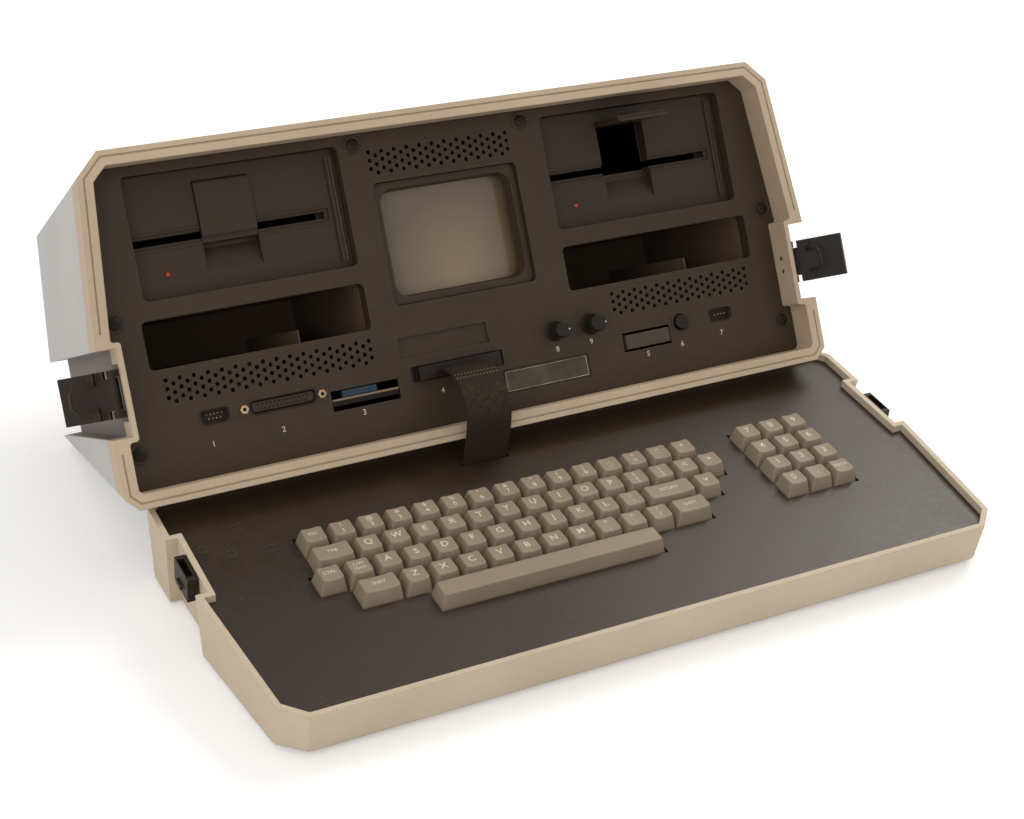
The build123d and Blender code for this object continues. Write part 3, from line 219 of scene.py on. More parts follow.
# Finishes ------------------------------------------------------------------------------------------
class Value:
    """A socket that takes part in sums as a number does."""

    def __init__(self, finish, socket):
        self.finish, self.socket = finish, socket

    def sum(self, operation, *others, clamp=False):
        return self.finish.node("Math", {"operation": operation, "use_clamp": clamp}, self, *others)

    def __add__(self, other):
        return self.sum("ADD", other)

    def __mul__(self, other):
        return self.sum("MULTIPLY", other)

    def __sub__(self, other):
        return self.sum("SUBTRACT", other)

    def __rsub__(self, other):
        return self.finish.node("Math", {"operation": "SUBTRACT"}, other, self)

    __radd__, __rmul__ = __add__, __mul__

    def held(self):
        return self.sum("ADD", 0.0, clamp=True)

    def over(self, low, high):
        """0 below low, 1 above high and a ramp between."""
        return self.finish.node("MapRange", {"clamp": True}, self, low, high, 0.0, 1.0)


def rgb(r, g, b):
    """A colour as it shows on a screen, 0 to 255, for the shader."""
    shares = (r / 255, g / 255, b / 255)
    return tuple(c / 12.92 if c <= 0.04045 else ((c + 0.055) / 1.055) ** 2.4 for c in shares) + (1.0,)


class Finish:
    """One procedural material."""

    def __init__(self, name):
        self.material = bpy.data.materials.new(name)
        self.material.use_nodes = True
        self.tree = self.material.node_tree
        self.surface = self.tree.nodes["Principled BSDF"]
        self.place = Value(self, self.tree.nodes.new("ShaderNodeTexCoord").outputs["Object"])

    def node(self, kind, settings, *inputs, out=0, **named):
        made = self.tree.nodes.new("ShaderNode" + kind)
        for key, value in settings.items():
            setattr(made, key, value)
        pairs = list(zip([s for s in made.inputs if s.enabled], inputs))
        pairs += [(made.inputs[key.replace("_", " ")], value) for key, value in named.items()]
        for socket, value in pairs:
            if isinstance(value, Value):
                self.tree.links.new(value.socket, socket)
            elif value is not None:
                socket.default_value = value
        outputs = [s for s in made.outputs if s.enabled]
        return Value(self, outputs[out])

    def set(self, **values):
        for key, value in values.items():
            socket = self.surface.inputs[key.replace("_", " ")]
            if isinstance(value, Value):
                self.tree.links.new(value.socket, socket)
            else:
                socket.default_value = value
        return self

    def noise(self, scale, detail=2.0, rough=0.5, place=None):
        named = {"Scale": scale, "Detail": detail, "Roughness": rough}
        return self.node("TexNoise", {}, place or self.place, None, **named)

    def mix(self, amount, first, second):
        return self.node("Mix", {"data_type": "RGBA"}, amount, first, second)

    def normal(self, height, depth, strength=1.0, under=None):
        named = {"Normal": under} if under else {}
        return self.node("Bump", {}, strength, depth * MM, Height=height, **named)

    def soft_edges(self, radius):
        return self.node("Bevel", {"samples": 4}, radius * MM)

    def worn_edges(self, radius, reach=1.0):
        """1 along the edges and 0 on the flats."""
        softened = self.soft_edges(radius)
        true = Value(self, self.tree.nodes.new("ShaderNodeNewGeometry").outputs["Normal"])
        dot = self.node("VectorMath", {"operation": "DOT_PRODUCT"}, softened, true, out=0)
        return (1 - dot).over(0.01, 0.22 / reach)


def in_latch_channel(f):
    """1 on the walls of the side channels that the latches fold into, 0 elsewhere."""
    local = f.node("VectorMath", {"operation": "SUBTRACT"}, f.place, tuple(RIM.translation * MM))
    up = f.node("VectorMath", {"operation": "DOT_PRODUCT"}, local, tuple(RIM.col[1].xyz))
    out = f.node("VectorMath", {"operation": "DOT_PRODUCT"}, local, tuple(RIM.col[2].xyz))
    across = f.node("SeparateXYZ", {}, f.place)
    side = across.sum("ABSOLUTE") - out * SIDE_INSET
    below_skin = (1 - side.over(0.2578, 0.2588)) * side.over(0.236, 0.238)
    between_walls = up.over(0.0446, 0.0452) * (1 - up.over(0.0998, 0.1004))
    return below_skin * between_walls


def plastic(name, colour, dark, grain=1.2, depth=0.05, rough=0.55, edge=0.6, blotch=0.5, worn=None, dust=None,
            spec=0.4, shaded=None):
    """Moulded plastic: a fine grain, uneven tone, rubbed edges, a little dust and, where shaded is given,
    painted shade on the latch channels' walls.
    """
    f = Finish(name)
    broad = f.noise(9.0, 3.0, 0.6)
    fine = f.noise(260.0, 2.0, 0.6)
    tone = f.mix((broad * blotch + fine * 0.25).over(0.2, 0.62), rgb(*dark), rgb(*colour))
    if worn:
        rub = f.worn_edges(edge) * f.noise(70.0, 3.0).over(0.36, 0.6)
        tone = f.mix(rub * 0.75, tone, rgb(*worn))
    if dust:
        specks = f.node("TexVoronoi", {"feature": "F1"}, f.place, Scale=310.0)
        sparse = f.noise(40.0, 2.0).over(0.5, 0.7)
        tone = f.mix((1 - specks.over(0.05, 0.16)) * sparse * 0.55, tone, rgb(*dust))
    # painted shade: the recessed walls of the latch channels take the darker shaded colour
    if shaded:
        tone = f.mix(in_latch_channel(f), tone, rgb(*shaded))
    pits = f.noise(1000.0 / grain, 2.0, 0.55)
    smooth = f.soft_edges(edge)
    f.set(Base_Color=tone, Roughness=(fine * 0.16 + broad * 0.1 + (rough - 0.13)))
    f.set(Normal=f.normal(pits, depth, 0.7, smooth), Specular_IOR_Level=spec)
    return f.material


frame_cream = plastic("frame_cream", (192, 173, 147), (173, 153, 127), 0.9, 0.05, 0.58, 0.9, 0.8,
                      worn=(194, 174, 144), dust=(104, 84, 60), spec=0.3)
lid_cream = plastic("lid_cream", (203, 187, 164), (186, 168, 143), 0.9, 0.05, 0.58, 0.9, 0.8,
                    worn=(220, 206, 182), dust=(124, 104, 78), spec=0.3)
grey_case = plastic("grey_case", (192, 189, 187), (178, 174, 171), 0.9, 0.05, 0.6, 1.2, 0.8,
                    worn=(208, 201, 190), dust=(140, 126, 104), spec=0.3, shaded=(100, 90, 84))
brown = plastic("brown_panel", (65, 52, 39), (51, 41, 30), 0.8, 0.05, 0.52, 0.7,
                worn=(92, 78, 62), dust=(104, 90, 72), spec=0.3)
deck_brown = plastic("brown_bezel", (55, 43, 31), (42, 32, 23), 0.9, 0.07, 0.38, 0.6,
                     worn=(98, 84, 68), dust=(138, 122, 100), spec=0.5)
drive_brown = plastic("drive_face", (58, 45, 32), (46, 36, 26), 0.8, 0.04, 0.5, 0.6,
                      worn=(84, 70, 56), spec=0.3)
gloss_brown = plastic("drive_edge_gloss", (54, 44, 35), (40, 32, 25), 4.0, 0.12, 0.24, 0.3, spec=0.6)
black = plastic("black_plastic", (40, 30, 23), (28, 21, 16), 0.7, 0.03, 0.5, 0.4,
                worn=(66, 55, 44), spec=0.25)
knob_black = plastic("knob_black", (40, 32, 25), (28, 22, 17), 0.5, 0.03, 0.45, 0.3,
                     worn=(74, 62, 49), spec=0.25)
bay_black = plastic("bay_black", (112, 94, 76), (92, 77, 62), 1.0, 0.03, 0.7, 0.5, spec=0.2)
# near-black: black socket plastic, and painted shade in holes, bores and screw crosses
black_and_hole_shade = plastic("socket_black_and_hole_shade", (30, 24, 20), (20, 16, 13), 0.6, 0.03, 0.6, 0.3, spec=0.2)
label_plate = plastic("bare_label_plate", (72, 62, 50), (60, 51, 41), 0.4, 0.015, 0.34, 0.4,
                      worn=(120, 106, 88))
card_blue = plastic("card_blue", (50, 76, 94), (38, 61, 78), 0.5, 0.02, 0.5, 0.3)
card_tan = plastic("board_edge_tan", (140, 120, 93), (122, 102, 78), 0.3, 0.02, 0.6, 0.2)
key_plastic = plastic("key_plastic", (150, 136, 116), (134, 120, 101), 0.45, 0.03, 0.5, 0.3, 0.6,
                      dust=(96, 84, 68))
foot_rubber = plastic("foot_rubber", (38, 36, 34), (28, 27, 26), 0.6, 0.04, 0.8, 0.8)


def ink(name, colour, rough=0.6):
    """Printed or inlaid marks, slightly broken up."""
    f = Finish(name)
    faded = rgb(*(c * 0.82 for c in colour))
    f.set(Base_Color=f.mix(f.noise(600.0, 2.0).over(0.3, 0.7), faded, rgb(*colour)), Roughness=rough)
    return f.material


key_ink = ink("key_ink", (226, 219, 204))
panel_ink = ink("panel_ink", (206, 196, 180))


def metal(name, colour, rough=0.35, brush=(1, 1, 1), paint=None, edge=0.5, grime=(60, 48, 36)):
    """Bare or painted metal; paint is worn off along the edges."""
    f = Finish(name)
    lay = f.node("Mapping", {}, f.place, Scale=(brush[0], brush[1], brush[2]))
    scratches = f.noise(900.0, 4.0, 0.7, lay)
    patches = f.noise(60.0, 3.0)
    bare = f.mix(patches.over(0.35, 0.75) * 0.7, rgb(*colour), rgb(*grime))
    f.set(Normal=f.normal(scratches, 0.02, 0.5, f.soft_edges(edge)))
    if paint:
        wear = (f.worn_edges(edge, 1.4) * patches.over(0.32, 0.56)).held()
        f.set(Base_Color=f.mix(wear, rgb(*paint), bare), Metallic=wear * 0.8, Roughness=0.5 - wear * 0.1,
              Specular_IOR_Level=0.25)
    else:
        f.set(Base_Color=bare, Metallic=1.0, Roughness=scratches * 0.2 + (rough - 0.1))
    return f.material


# painted shade: a darker copy of the plated steel, so that the chassis edges seen in the slots and door
# openings stay dark
shaded_drive_metal = metal("drive_chassis_shaded", (92, 86, 78), 0.55, (1, 14, 1))
steel = metal("plated_steel", (170, 168, 162), 0.4, (1, 14, 1))
wire = metal("spring_wire", (120, 104, 84), paint=(44, 35, 28), edge=0.25)
brass = metal("plated_brass", (206, 178, 138), 0.35)
brushed_plate = metal("bare_name_plate", (92, 84, 75), 0.38, (1, 30, 1), grime=(58, 50, 42))
bright_trim = metal("bright_trim", (172, 162, 148), 0.3)
latch_black = metal("latch_paint", (150, 122, 88), paint=(38, 29, 22), edge=0.6)


def board_green():
    """Printed board with a pattern of tracks."""
    f = Finish("circuit_board")
    board, other, track = rgb(28, 74, 42), rgb(34, 88, 50), rgb(86, 120, 62)
    tracks = f.node("TexBrick", {"offset": 0.5}, f.place, board, other, track, Scale=90.0)
    f.set(Base_Color=tracks, Roughness=0.45, Coat_Weight=0.3)
    return f.material


REFLECTION_SPOT = (2, 112, -31)  # the middle of the painted reflection on the screen, in the rim's frame


def tube_glass():
    """The unlit phosphor behind grey glass, with a painted soft reflection that leaves it paler low in the
    middle.
    """
    f = Finish("tube_glass")
    centre = spot(RIM, *REFLECTION_SPOT)
    off = f.node("VectorMath", {"operation": "SUBTRACT"}, f.place, tuple(centre))
    far = f.node("VectorMath", {"operation": "LENGTH"}, off, out=0)
    haze = f.noise(14.0, 2.0) * 0.012
    # painted reflection: the screen is paler in a soft patch low in its middle
    painted_reflection = 1 - (far + haze).over(0.008, 0.058)
    f.set(Base_Color=f.mix(painted_reflection, rgb(94, 81, 60), rgb(127, 110, 85)), Roughness=0.32)
    f.set(Specular_IOR_Level=0.5, Coat_Weight=0.5, Coat_Roughness=0.08)
    return f.material


def lamp_red():
    """Clear red moulding of a small lamp."""
    f = Finish("lamp_red")
    tone = f.mix(f.noise(900.0), rgb(120, 26, 22), rgb(160, 44, 36))
    f.set(Base_Color=tone, Roughness=0.25, Coat_Weight=0.6)
    return f.material


SEWN_ROWS = (23.0, 26.4)  # along the cable, from the socket
TWILL, RIDGE, STITCH = 1.9, 1.5, 2.4  # from one thread, cross ridge or stitch to the next


def braid():
    """Dark woven sleeve: crossed threads, two sewn rows of pale stitches and a band of pale specks below
    them.
    """
    f = Finish("braided_sleeve")
    run = Value(f, f.tree.nodes.new("ShaderNodeUVMap").outputs["UV"])
    x, y = (f.node("SeparateXYZ", {}, run, out=k) for k in (0, 1))
    one = ((x + y) * (2 * pi / TWILL)).sum("SINE")
    two = ((x - y) * (2 * pi / TWILL)).sum("SINE")
    ridge = (y * (2 * pi / RIDGE)).sum("SINE")
    weave = one.sum("MAXIMUM", two)
    fuzz = f.noise(1500.0, 2.0)
    tone = f.mix((weave * 0.5 + fuzz * 0.5).over(0.1, 1.0), rgb(33, 26, 21), rgb(66, 55, 45))
    dots = (x * (2 * pi / STITCH)).sum("SINE").over(0.1, 0.7)
    rows = 0.0
    for place in SEWN_ROWS:
        rows = (1 - (y - place).sum("ABSOLUTE").over(0.45, 0.9)) + rows
    sewn = dots * rows.held()
    # pale specks where the threads cross, in a band along the cable below the stitches
    speck_band = y.over(30.0, 36.0) * (1 - y.over(46.0, 60.0))
    worn = speck_band * (one * two).over(0.5, 0.9) * f.noise(420.0, 2.0).over(0.45, 0.62)
    tone = f.mix((sewn * 0.45 + worn * 0.5).held(), tone, rgb(150, 132, 106))
    f.set(Base_Color=tone, Roughness=0.75, Specular_IOR_Level=0.12)
    f.set(Normal=f.normal(weave * 0.7 + ridge * 0.3, 0.35, 0.8))
    return f.material


sleeve, green, glass, red = braid(), board_green(), tube_glass(), lamp_red()

PAINT = {
    grey_case: "rear_case",
    frame_cream: "front_frame",
    lid_cream: "keyboard_case",
    brown: "front_panel screen_mask",
    deck_brown: "keyboard_bezel",
    drive_brown: "drive_face_left drive_face_right drive_door_left drive_door_right",
    bay_black: "disk_bay_left disk_bay_right",
    black: "modem_socket serial_socket battery_socket cable_socket panel_controls power_inlet power_rocker "
    "cable_plug cable_clamp handle_lugs carry_handle reset_button",
    shaded_drive_metal: "drive_body_left drive_body_right",
    steel: "power_supply switch_plate",
    brass: "serial_jackscrews",
    wire: "latch_link_left latch_link_right",
    latch_black: "latch_bracket_left latch_bracket_right latch_lever_left latch_lever_right "
    "latch_keeper_left latch_keeper_right",
    glass: "picture_tube",
    green: "main_board key_circuit",
    red: "drive_lamps",
    foot_rubber: "rear_feet keyboard_feet",
}
for material, names in PAINT.items():
    for name in names.split():
        data = nodes[name].data
        if not data.materials:
            data.materials.append(material)
        for k in range(len(nodes[name].material_slots)):
            nodes[name].material_slots[k].link = "OBJECT"
            nodes[name].material_slots[k].material = material

# Keys ----------------------------------------------------------------------------------------------
PITCH, KEY_X0, ROW_S, PAD_X0 = 19.05, -185.5, 75.5, 134.0
KEY_TOP, KEY_H, KEY_GAP, DRAFT, DISH = 4.5, 12.5, 1.1, tan(radians(10.5)), 1.1
KEY_LOW, KEY_ROUND = -8.0, 1.0  # the skirt's lower edge, and the rounding of the upper edges


def row(r, spans):
    return [(KEY_X0 + (u + w / 2) * PITCH, -(ROW_S + r * PITCH), w * PITCH, text) for u, w, text in spans]


NUMBERS = list(zip("!@#$%^&*()_+", "1234567890-="))
KEYS = {
    "keys_row_1": row(0, [(0, 1, ("ESC",))] + [(1 + i, 1, t) for i, t in enumerate(NUMBERS)]
                      + [(13, 1, ("~", "`")), (14, 1, ("^",))]),
    "keys_row_2": row(1, [(0, 1.5, ("TAB",))] + [(1.5 + i, 1, (c,)) for i, c in enumerate("QWERTYUIOP")]
                      + [(11.5, 1, ("{", "[")), (12.5, 1, ("}", "]")), (13.5, 1, ("<",)), (14.5, 1, (">",))]),
    "keys_row_3": row(2, [(-0.25, 1, ("CTRL",))] + [(1.75 + i, 1, (c,)) for i, c in enumerate("ASDFGHJKL")]
                      + [(10.75, 1, (":", ";")), (13.75, 1, ("v",))]),
    "keys_row_4": row(3, [(2.25 + i, 1, (c,)) for i, c in enumerate("ZXCVBNM")]
                      + [(9.25, 1, ("<", ",")), (10.25, 1, (">", ".")), (11.25, 1, ("?", "/"))]),
    "alpha_lock_key": row(2, [(0.75, 1, ("CAPS", "LOCK"))]),
    "return_key": row(2, [(11.75, 2, ("RETURN",))]),
    "left_shift_key": row(3, [(0.75, 1.5, ("SHIFT",))]),
    "right_shift_key": row(3, [(12.25, 1.5, ("SHIFT",))]),
    "space_bar": row(4, [(3.0, 8.25, ())]),
    "keypad_keys": [(PAD_X0 + (c + 0.5) * PITCH, -(ROW_S + r * PITCH), PITCH, (t,))
                    for r, line in enumerate(("789", "456", "123", "0.")) for c, t in enumerate(line)],
    "keypad_enter_key": [(PAD_X0 + 2.5 * PITCH, -(ROW_S + 3 * PITCH), PITCH, ("ENTER",))],
}


def keycap(shape, x, y, width, words):
    """A key cap with a softly dished top, rounded edges and its legend."""
    w, d = width - KEY_GAP, PITCH - KEY_GAP
    rim = w / 2 - KEY_H * DRAFT

    def top(px):
        if width > 3 * PITCH:
            return KEY_TOP - 0.25
        across = min(abs(px - x) / rim, 1.0)
        return KEY_TOP - 0.12 - DISH * 0.8 * (1 - across ** 2.2)

    rings = []
    for z, corner in ((KEY_LOW, 0.7), (-7.6, 0.9), (-3.0, 1.3), (2.0, 1.8)):
        back = (z - KEY_LOW) * DRAFT
        rings.append([(px, py, z) for px, py in rounded(w - 2 * back, d - 2 * back, corner, x, y, 5, 9)])
    for k in range(5):
        a = pi / 2 * k / 4
        back = (KEY_TOP - KEY_LOW - KEY_ROUND) * DRAFT + KEY_ROUND * (1 - cos(a))
        outline = rounded(w - 2 * back, d - 2 * back, 2.3 - 0.5 * k / 4, x, y, 5, 9)
        rings.append([(px, py, top(px) - KEY_ROUND + KEY_ROUND * sin(a)) for px, py in outline])
    shoulder = rings[-1]
    for share in (0.8, 0.55, 0.3, 0.08):
        inner = [(x + (px - x) * share, y + (py - y) * share) for px, py, _ in shoulder]
        rings.append([(px, py, top(px)) for px, py in inner])
    shape.loft(rings, 0, first=False)
    on_top = lambda px, py: top(px) + 0.05
    if len(words) == 2 and len(words[1]) == 1:
        letters.write(shape, words[0], 4.9, x, y + 3.0, on_top, 1)
        letters.write(shape, words[1], 5.3, x, y - 2.6, on_top, 1)
    elif len(words) == 2:
        for k, word in enumerate(words):
            letters.write(shape, word, 3.3, x, y + 2.1 - 3.9 * k, on_top, 1, 0.9)
    elif words:
        size, wide = (7.0, 1.0) if len(words[0]) == 1 else (3.9, 0.86)
        letters.write(shape, words[0], size, x, y + 0.6, on_top, 1, wide)


for name, keys in KEYS.items():
    caps = Shape(DECK)
    for x, y, width, words in keys:
        keycap(caps, x, y, width, words)
        stem = rounded(5.0, 5.0, 0.4, x, y, 3)
        caps.loft([[(px, py, z) for px, py in stem] for z in (-16.0, -7.6)], 2)
        under = rounded(width - KEY_GAP - 0.6, PITCH - KEY_GAP - 0.6, 0.7, x, y, 3)
        caps.loft([[(px, py, z) for px, py in under] for z in (-7.9, -7.5)], 2)
    caps.build(name + "_caps", name, [key_plastic, key_ink, black], (name,), "key_plastic")

# Perforated plates -----------------------------------------------------------------------------------
HOLE_ROW, HOLE_STEP, HOLE_R, PLATE_EDGE = 5.6, 9.2, 1.62, 4.3
PLATE_T, PLATE_BEVEL = 2.6, 0.18
GRILLES = (("grille_top", -3.0, 190.0, 12), ("grille_left", -147.0, 67.8, 16),
           ("grille_right", 161.5, 67.8, 13))


def grille_loops(x, v, columns):
    """The plate's outline and its staggered holes, which run the other way round."""
    w, h = columns * HOLE_STEP + PLATE_EDGE, 3 * HOLE_ROW + PLATE_EDGE
    loops = [rounded(w - 0.6, h - 0.6, 0.4, x, v, 4)]
    for count, up in ((columns, HOLE_ROW / 4), (columns - 1, -HOLE_ROW / 4)):
        for c in range(count):
            across = x + (c - (count - 1) / 2) * HOLE_STEP
            for r in (-1, 0, 1):
                loops.append(circle(across, v + up + r * HOLE_ROW, HOLE_R)[::-1])
    return loops


for name, x, v, columns in GRILLES:
    plate = bpy.data.curves.new(name, "CURVE")
    plate.dimensions, plate.fill_mode = "2D", "BOTH"
    plate.extrude, plate.bevel_depth = PLATE_T / 2 * MM, PLATE_BEVEL * MM
    for loop in grille_loops(x, v, columns):
        spline = plate.splines.new("POLY")
        spline.points.add(len(loop) - 1)
        for point, (px, py) in zip(spline.points, loop):
            point.co = (px * MM, py * MM, 0, 1)
        spline.use_cyclic_u = True
    holder = bpy.data.objects.new(name, plate)
    middle = Matrix.Translation((0, 0, PANEL_W - 1.5))
    holder.matrix_world = Matrix.Scale(MM, 4) @ RIM @ middle @ Matrix.Scale(1 / MM, 4)
    mesh = flattened(holder)
    mesh.materials.clear()
    mesh.materials.append(brown)
    piece = bpy.data.objects.new(name + "_plate", mesh)
    bpy.context.scene.collection.objects.link(piece)
    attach(piece, "main_unit")
    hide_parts(name)

# Panel fittings --------------------------------------------------------------------------------------
PORT_V, SERIAL_X, MODEM_X, BATTERY = 47.0, -143.5, -189.5, (190.0, 46.0)
JACKSCREW_OFF = 26.5
KNOB_V, KNOB_TOP = 57.5, 14.0
RESET = (156.5, 46.0)
CARD_X, VIDEO, VIDEO_V, BADGE = -87.0, 128.6, 39.2, (46.0, 29.5)
SCREWS = ((-64, 203), (60.4, 203), (-241, 115), (241, 115), (-241, 32.5), (241, 32.5))
NUMBERED = ((-193.5, 29.5), (-146.5, 29.5), (-90.3, 29.5), (-32.8, 33), (126.5, 28.5), (155, 30.5),
            (188.5, 32.5), (57, 44.5), (83.7, 45.0))


def raised(low, *steps):
    """A turned profile's (radius, height) steps, with heights counted from low."""
    return [(radius, low + up) for radius, up in steps]


screws = Shape(RIM)
for x, v in SCREWS:
    z = PANEL_W
    washer = raised(z, (6.4, -0.2), (6.4, 0.45), (6.1, 0.75), (5.6, 0.75), (5.2, 0.3), (5.0, 0.05))
    head = raised(z, (4.2, 0.0), (4.2, 0.7), (3.8, 1.25), (2.0, 1.6), (0.05, 1.7))
    screws.turned(x, v, washer, 28, 0)
    screws.turned(x, v, head, 28, 1)
    # painted shade: the screw's cross recess is a dark cross standing just proud of the head
    screws.slab(rounded(5.2, 0.9, 0.2, x, v, 3), z + 1.0, z + 1.72, 0.05, 2)
    screws.slab(rounded(0.9, 5.2, 0.2, x, v, 3), z + 1.0, z + 1.73, 0.05, 2)
screws.build("panel_screws", "main_unit", [brown, black, black_and_hole_shade], slot="panel_plastic")

marks = Shape(RIM)
flat = lambda x, y: PANEL_W + 0.05
for number, (x, v) in enumerate(NUMBERED, 1):
    letters.write(marks, str(number), 5.2, x, v, flat, 0)
marks.build("panel_numbers", "main_unit", [panel_ink], slot="panel_plastic")

for name, x, r in (("brightness_knob", 57.0, 6.9), ("contrast_knob", 85.0, 7.4)):
    knob = Shape(RIM)
    z = PANEL_W + 0.6
    cap = z + KNOB_TOP
    low, high = z + 1.4, z + KNOB_TOP - 0.3
    flute = lambda a, h: -0.05 * max(0.0, cos(a * 18)) ** 0.6 if low < h < high else 0.0
    foot = raised(z, (r - 0.1, 0), (r, 0.4), (r, 1.2), (r - 0.3, 1.4), (r - 0.6, 1.7), (r - 1.0, 8.0))
    crown = [(r - 1.2, cap - 1.0), (r - 1.6, cap - 0.4), (r - 2.3, cap), (r - 3.2, cap - 0.15),
             (0.05, cap - 0.35)]
    knob.turned(x, KNOB_V, foot + crown, 108, 0, flute)
    knob.turned(x, KNOB_V, [(3.0, z - 10.5), (3.0, z + 0.3)], 24, 0)
    knob.turned(x, KNOB_V, [(r + 0.5, z - 0.6), (r + 0.5, z - 0.2), (r - 0.4, z + 0.1)], 48, 0)
    knob.turned(x + r - 2.5, KNOB_V - 0.3, [(0.65, cap - 0.3), (0.6, cap + 0.08), (0.05, cap + 0.1)], 12, 1)
    knob.build(name + "_fluted", name, [knob_black, panel_ink], (name,), "knob_plastic")

collar = Shape(RIM)
lip = raised(PANEL_W, (7.3, -0.1), (7.2, 0.35), (6.8, 0.7), (6.2, 0.7), (5.9, 0.45), (5.8, -0.6))
collar.turned(*RESET, lip, 40, 0, last=False)
collar.build("reset_collar", "main_unit", [brown], slot="panel_plastic")

button = Shape(RIM)
stem = raised(PANEL_W, (2.4, -8.9), (2.4, -3.0), (5.2, -3.0), (5.2, 2.5), (5.0, 3.0))
dish = raised(PANEL_W, (4.5, 3.3), (3.9, 3.2), (2.0, 2.5), (0.05, 2.2))
button.turned(*RESET, stem + dish, 48, 0)
button.build("reset_button_dished", "reset_button", [knob_black], ("reset_button",), "knob_plastic")


PIN_ROW = 2.84  # from one row of pins to the next


def shelled_socket(name, x, v, w, h, taper, pins, insert):
    """A socket with a raised, round-cornered rim: pins stand in its well, or dark discs on its insert stand
    for holes, as painted shade.
    """
    part = Shape(RIM)
    z = PANEL_W

    def ring(less, r, height, square=False):
        outline = rounded(w - 2 * less, h - 2 * less, r, x, v, 6, 9)
        if square:
            return [(px, py, height) for px, py in outline]
        return [(x + (px - x) * (1 + taper * (py - v) / h), py, height) for px, py in outline]

    surround = [ring(0.05, 0.3, z - 5, True), ring(0.05, 0.3, z - 0.03, True), ring(0.5, 3.0, z - 0.03)]
    part.loft(surround, 4, smooth=False, last=False)
    shell = ((0.5, 3.0, -0.03), (0.5, 3.0, 0.35), (0.65, 2.9, 0.6), (0.95, 2.7, 0.7), (1.2, 2.5, 0.5),
             (1.3, 2.4, -3.2))
    part.loft([ring(less, r, z + up) for less, r, up in shell], 0, first=False)
    if insert:
        block = ((2.0, 1.9, -3.2), (2.0, 1.9, -0.6), (2.15, 1.8, -0.35), (2.4, 1.6, -0.3))
        part.loft([ring(less, r, z + up) for less, r, up in block], 1, first=False)
    for r, (count, pitch) in enumerate(pins):
        for c in range(count):
            px, pv = x + (c - (count - 1) / 2) * pitch, v + (0.5 * (len(pins) - 1) - r) * PIN_ROW
            if insert:
                # painted shade: each hole is a dark disc on the insert's face
                hole_shade = raised(z, (0.72, -0.28), (0.66, -0.22), (0.45, -0.24), (0.02, -0.25))
                part.turned(px, pv, hole_shade, 10, 2)
            else:
                pin = raised(z, (0.5, -3.2), (0.5, -1.0), (0.3, -0.7), (0.02, -0.65))
                part.turned(px, pv, pin, 10, 3)
    finishes = [black, drive_brown, black_and_hole_shade, brass, brown]
    part.build(name + "_shell", "main_unit", finishes, (name,), "black_plastic")


shelled_socket("serial_socket", SERIAL_X, PORT_V, 46.0, 10.4, 0.06, ((13, 2.76), (12, 2.76)), True)
shelled_socket("modem_socket", MODEM_X, PORT_V, 20.0, 10.4, 0.1, ((5, 2.5), (4, 2.5)), False)
shelled_socket("battery_socket", *BATTERY, 19.6, 10.4, 0.1, ((4, 2.8),), False)

# painted shade: a dark disc on each jackscrew stands for the shade inside its bore
bore_shades = Shape(RIM)
for x in (SERIAL_X - JACKSCREW_OFF, SERIAL_X + JACKSCREW_OFF):
    bore_shades.turned(x, PORT_V, raised(PANEL_W, (1.15, 0.2), (1.15, 1.1), (0.9, 1.2), (0.05, 1.0)), 16)
bore_shades.build("jackscrew_bore_shades", "main_unit", [black_and_hole_shade], slot="black_plastic")

card = Shape(RIM)
card.slab(rounded(46.6, 3.4, 0.4, CARD_X, 38.5), PANEL_W - 9, PANEL_W - 0.42, 0.3, 0)
card.slab(rounded(46.8, 1.3, 0.3, CARD_X, 40.8), PANEL_W - 9, PANEL_W - 0.25, 0.3, 1)
card.slab(rounded(24.5, 4.7, 0.6, -89.6, 44.0), PANEL_W - 12, PANEL_W - 3.4, 0.4, 2)
for c in range(11):
    card.slab(rounded(0.9, 0.5, 0.1, -99.6 + 2.0 * c, 44.0, 3), PANEL_W - 3.5, PANEL_W - 3.33, 0.05, 0)
card.build("card_edge_socket", "main_unit", [black_and_hole_shade, card_tan, card_blue], slot="black_plastic")

video = Shape(RIM)
video.slab(rounded(35.4, 10.2, 0.9, VIDEO, VIDEO_V), PANEL_W - 8, PANEL_W - 0.1, 0.5, 0)
video.slab(rounded(2.2, 11.6, 0.4, 110.2, VIDEO_V), PANEL_W - 8, PANEL_W - 0.4, 0.3, 1)
video.build("video_plug_plate", "main_unit", [label_plate, black_and_hole_shade], slot="black_plastic")

plate = Shape(RIM)
plate.slab(rounded(64.4, 14.6, 0.8, *BADGE), PANEL_W - 1.0, PANEL_W - 0.42, 0.15, 0)
BORDER = ((63.0, 0.5, 0, 6.6), (63.0, 0.5, 0, -6.6), (0.5, 13.2, 31.3, 0), (0.5, 13.2, -31.3, 0))
for across, high, dx, dv in BORDER:
    bar = rounded(across, high, 0.12, BADGE[0] + dx, BADGE[1] + dv, 3)
    plate.slab(bar, PANEL_W - 0.5, PANEL_W - 0.2, 0.1, 1)
plate.build("bare_name_plate", "main_unit", [brushed_plate, bright_trim], slot="panel_plastic")

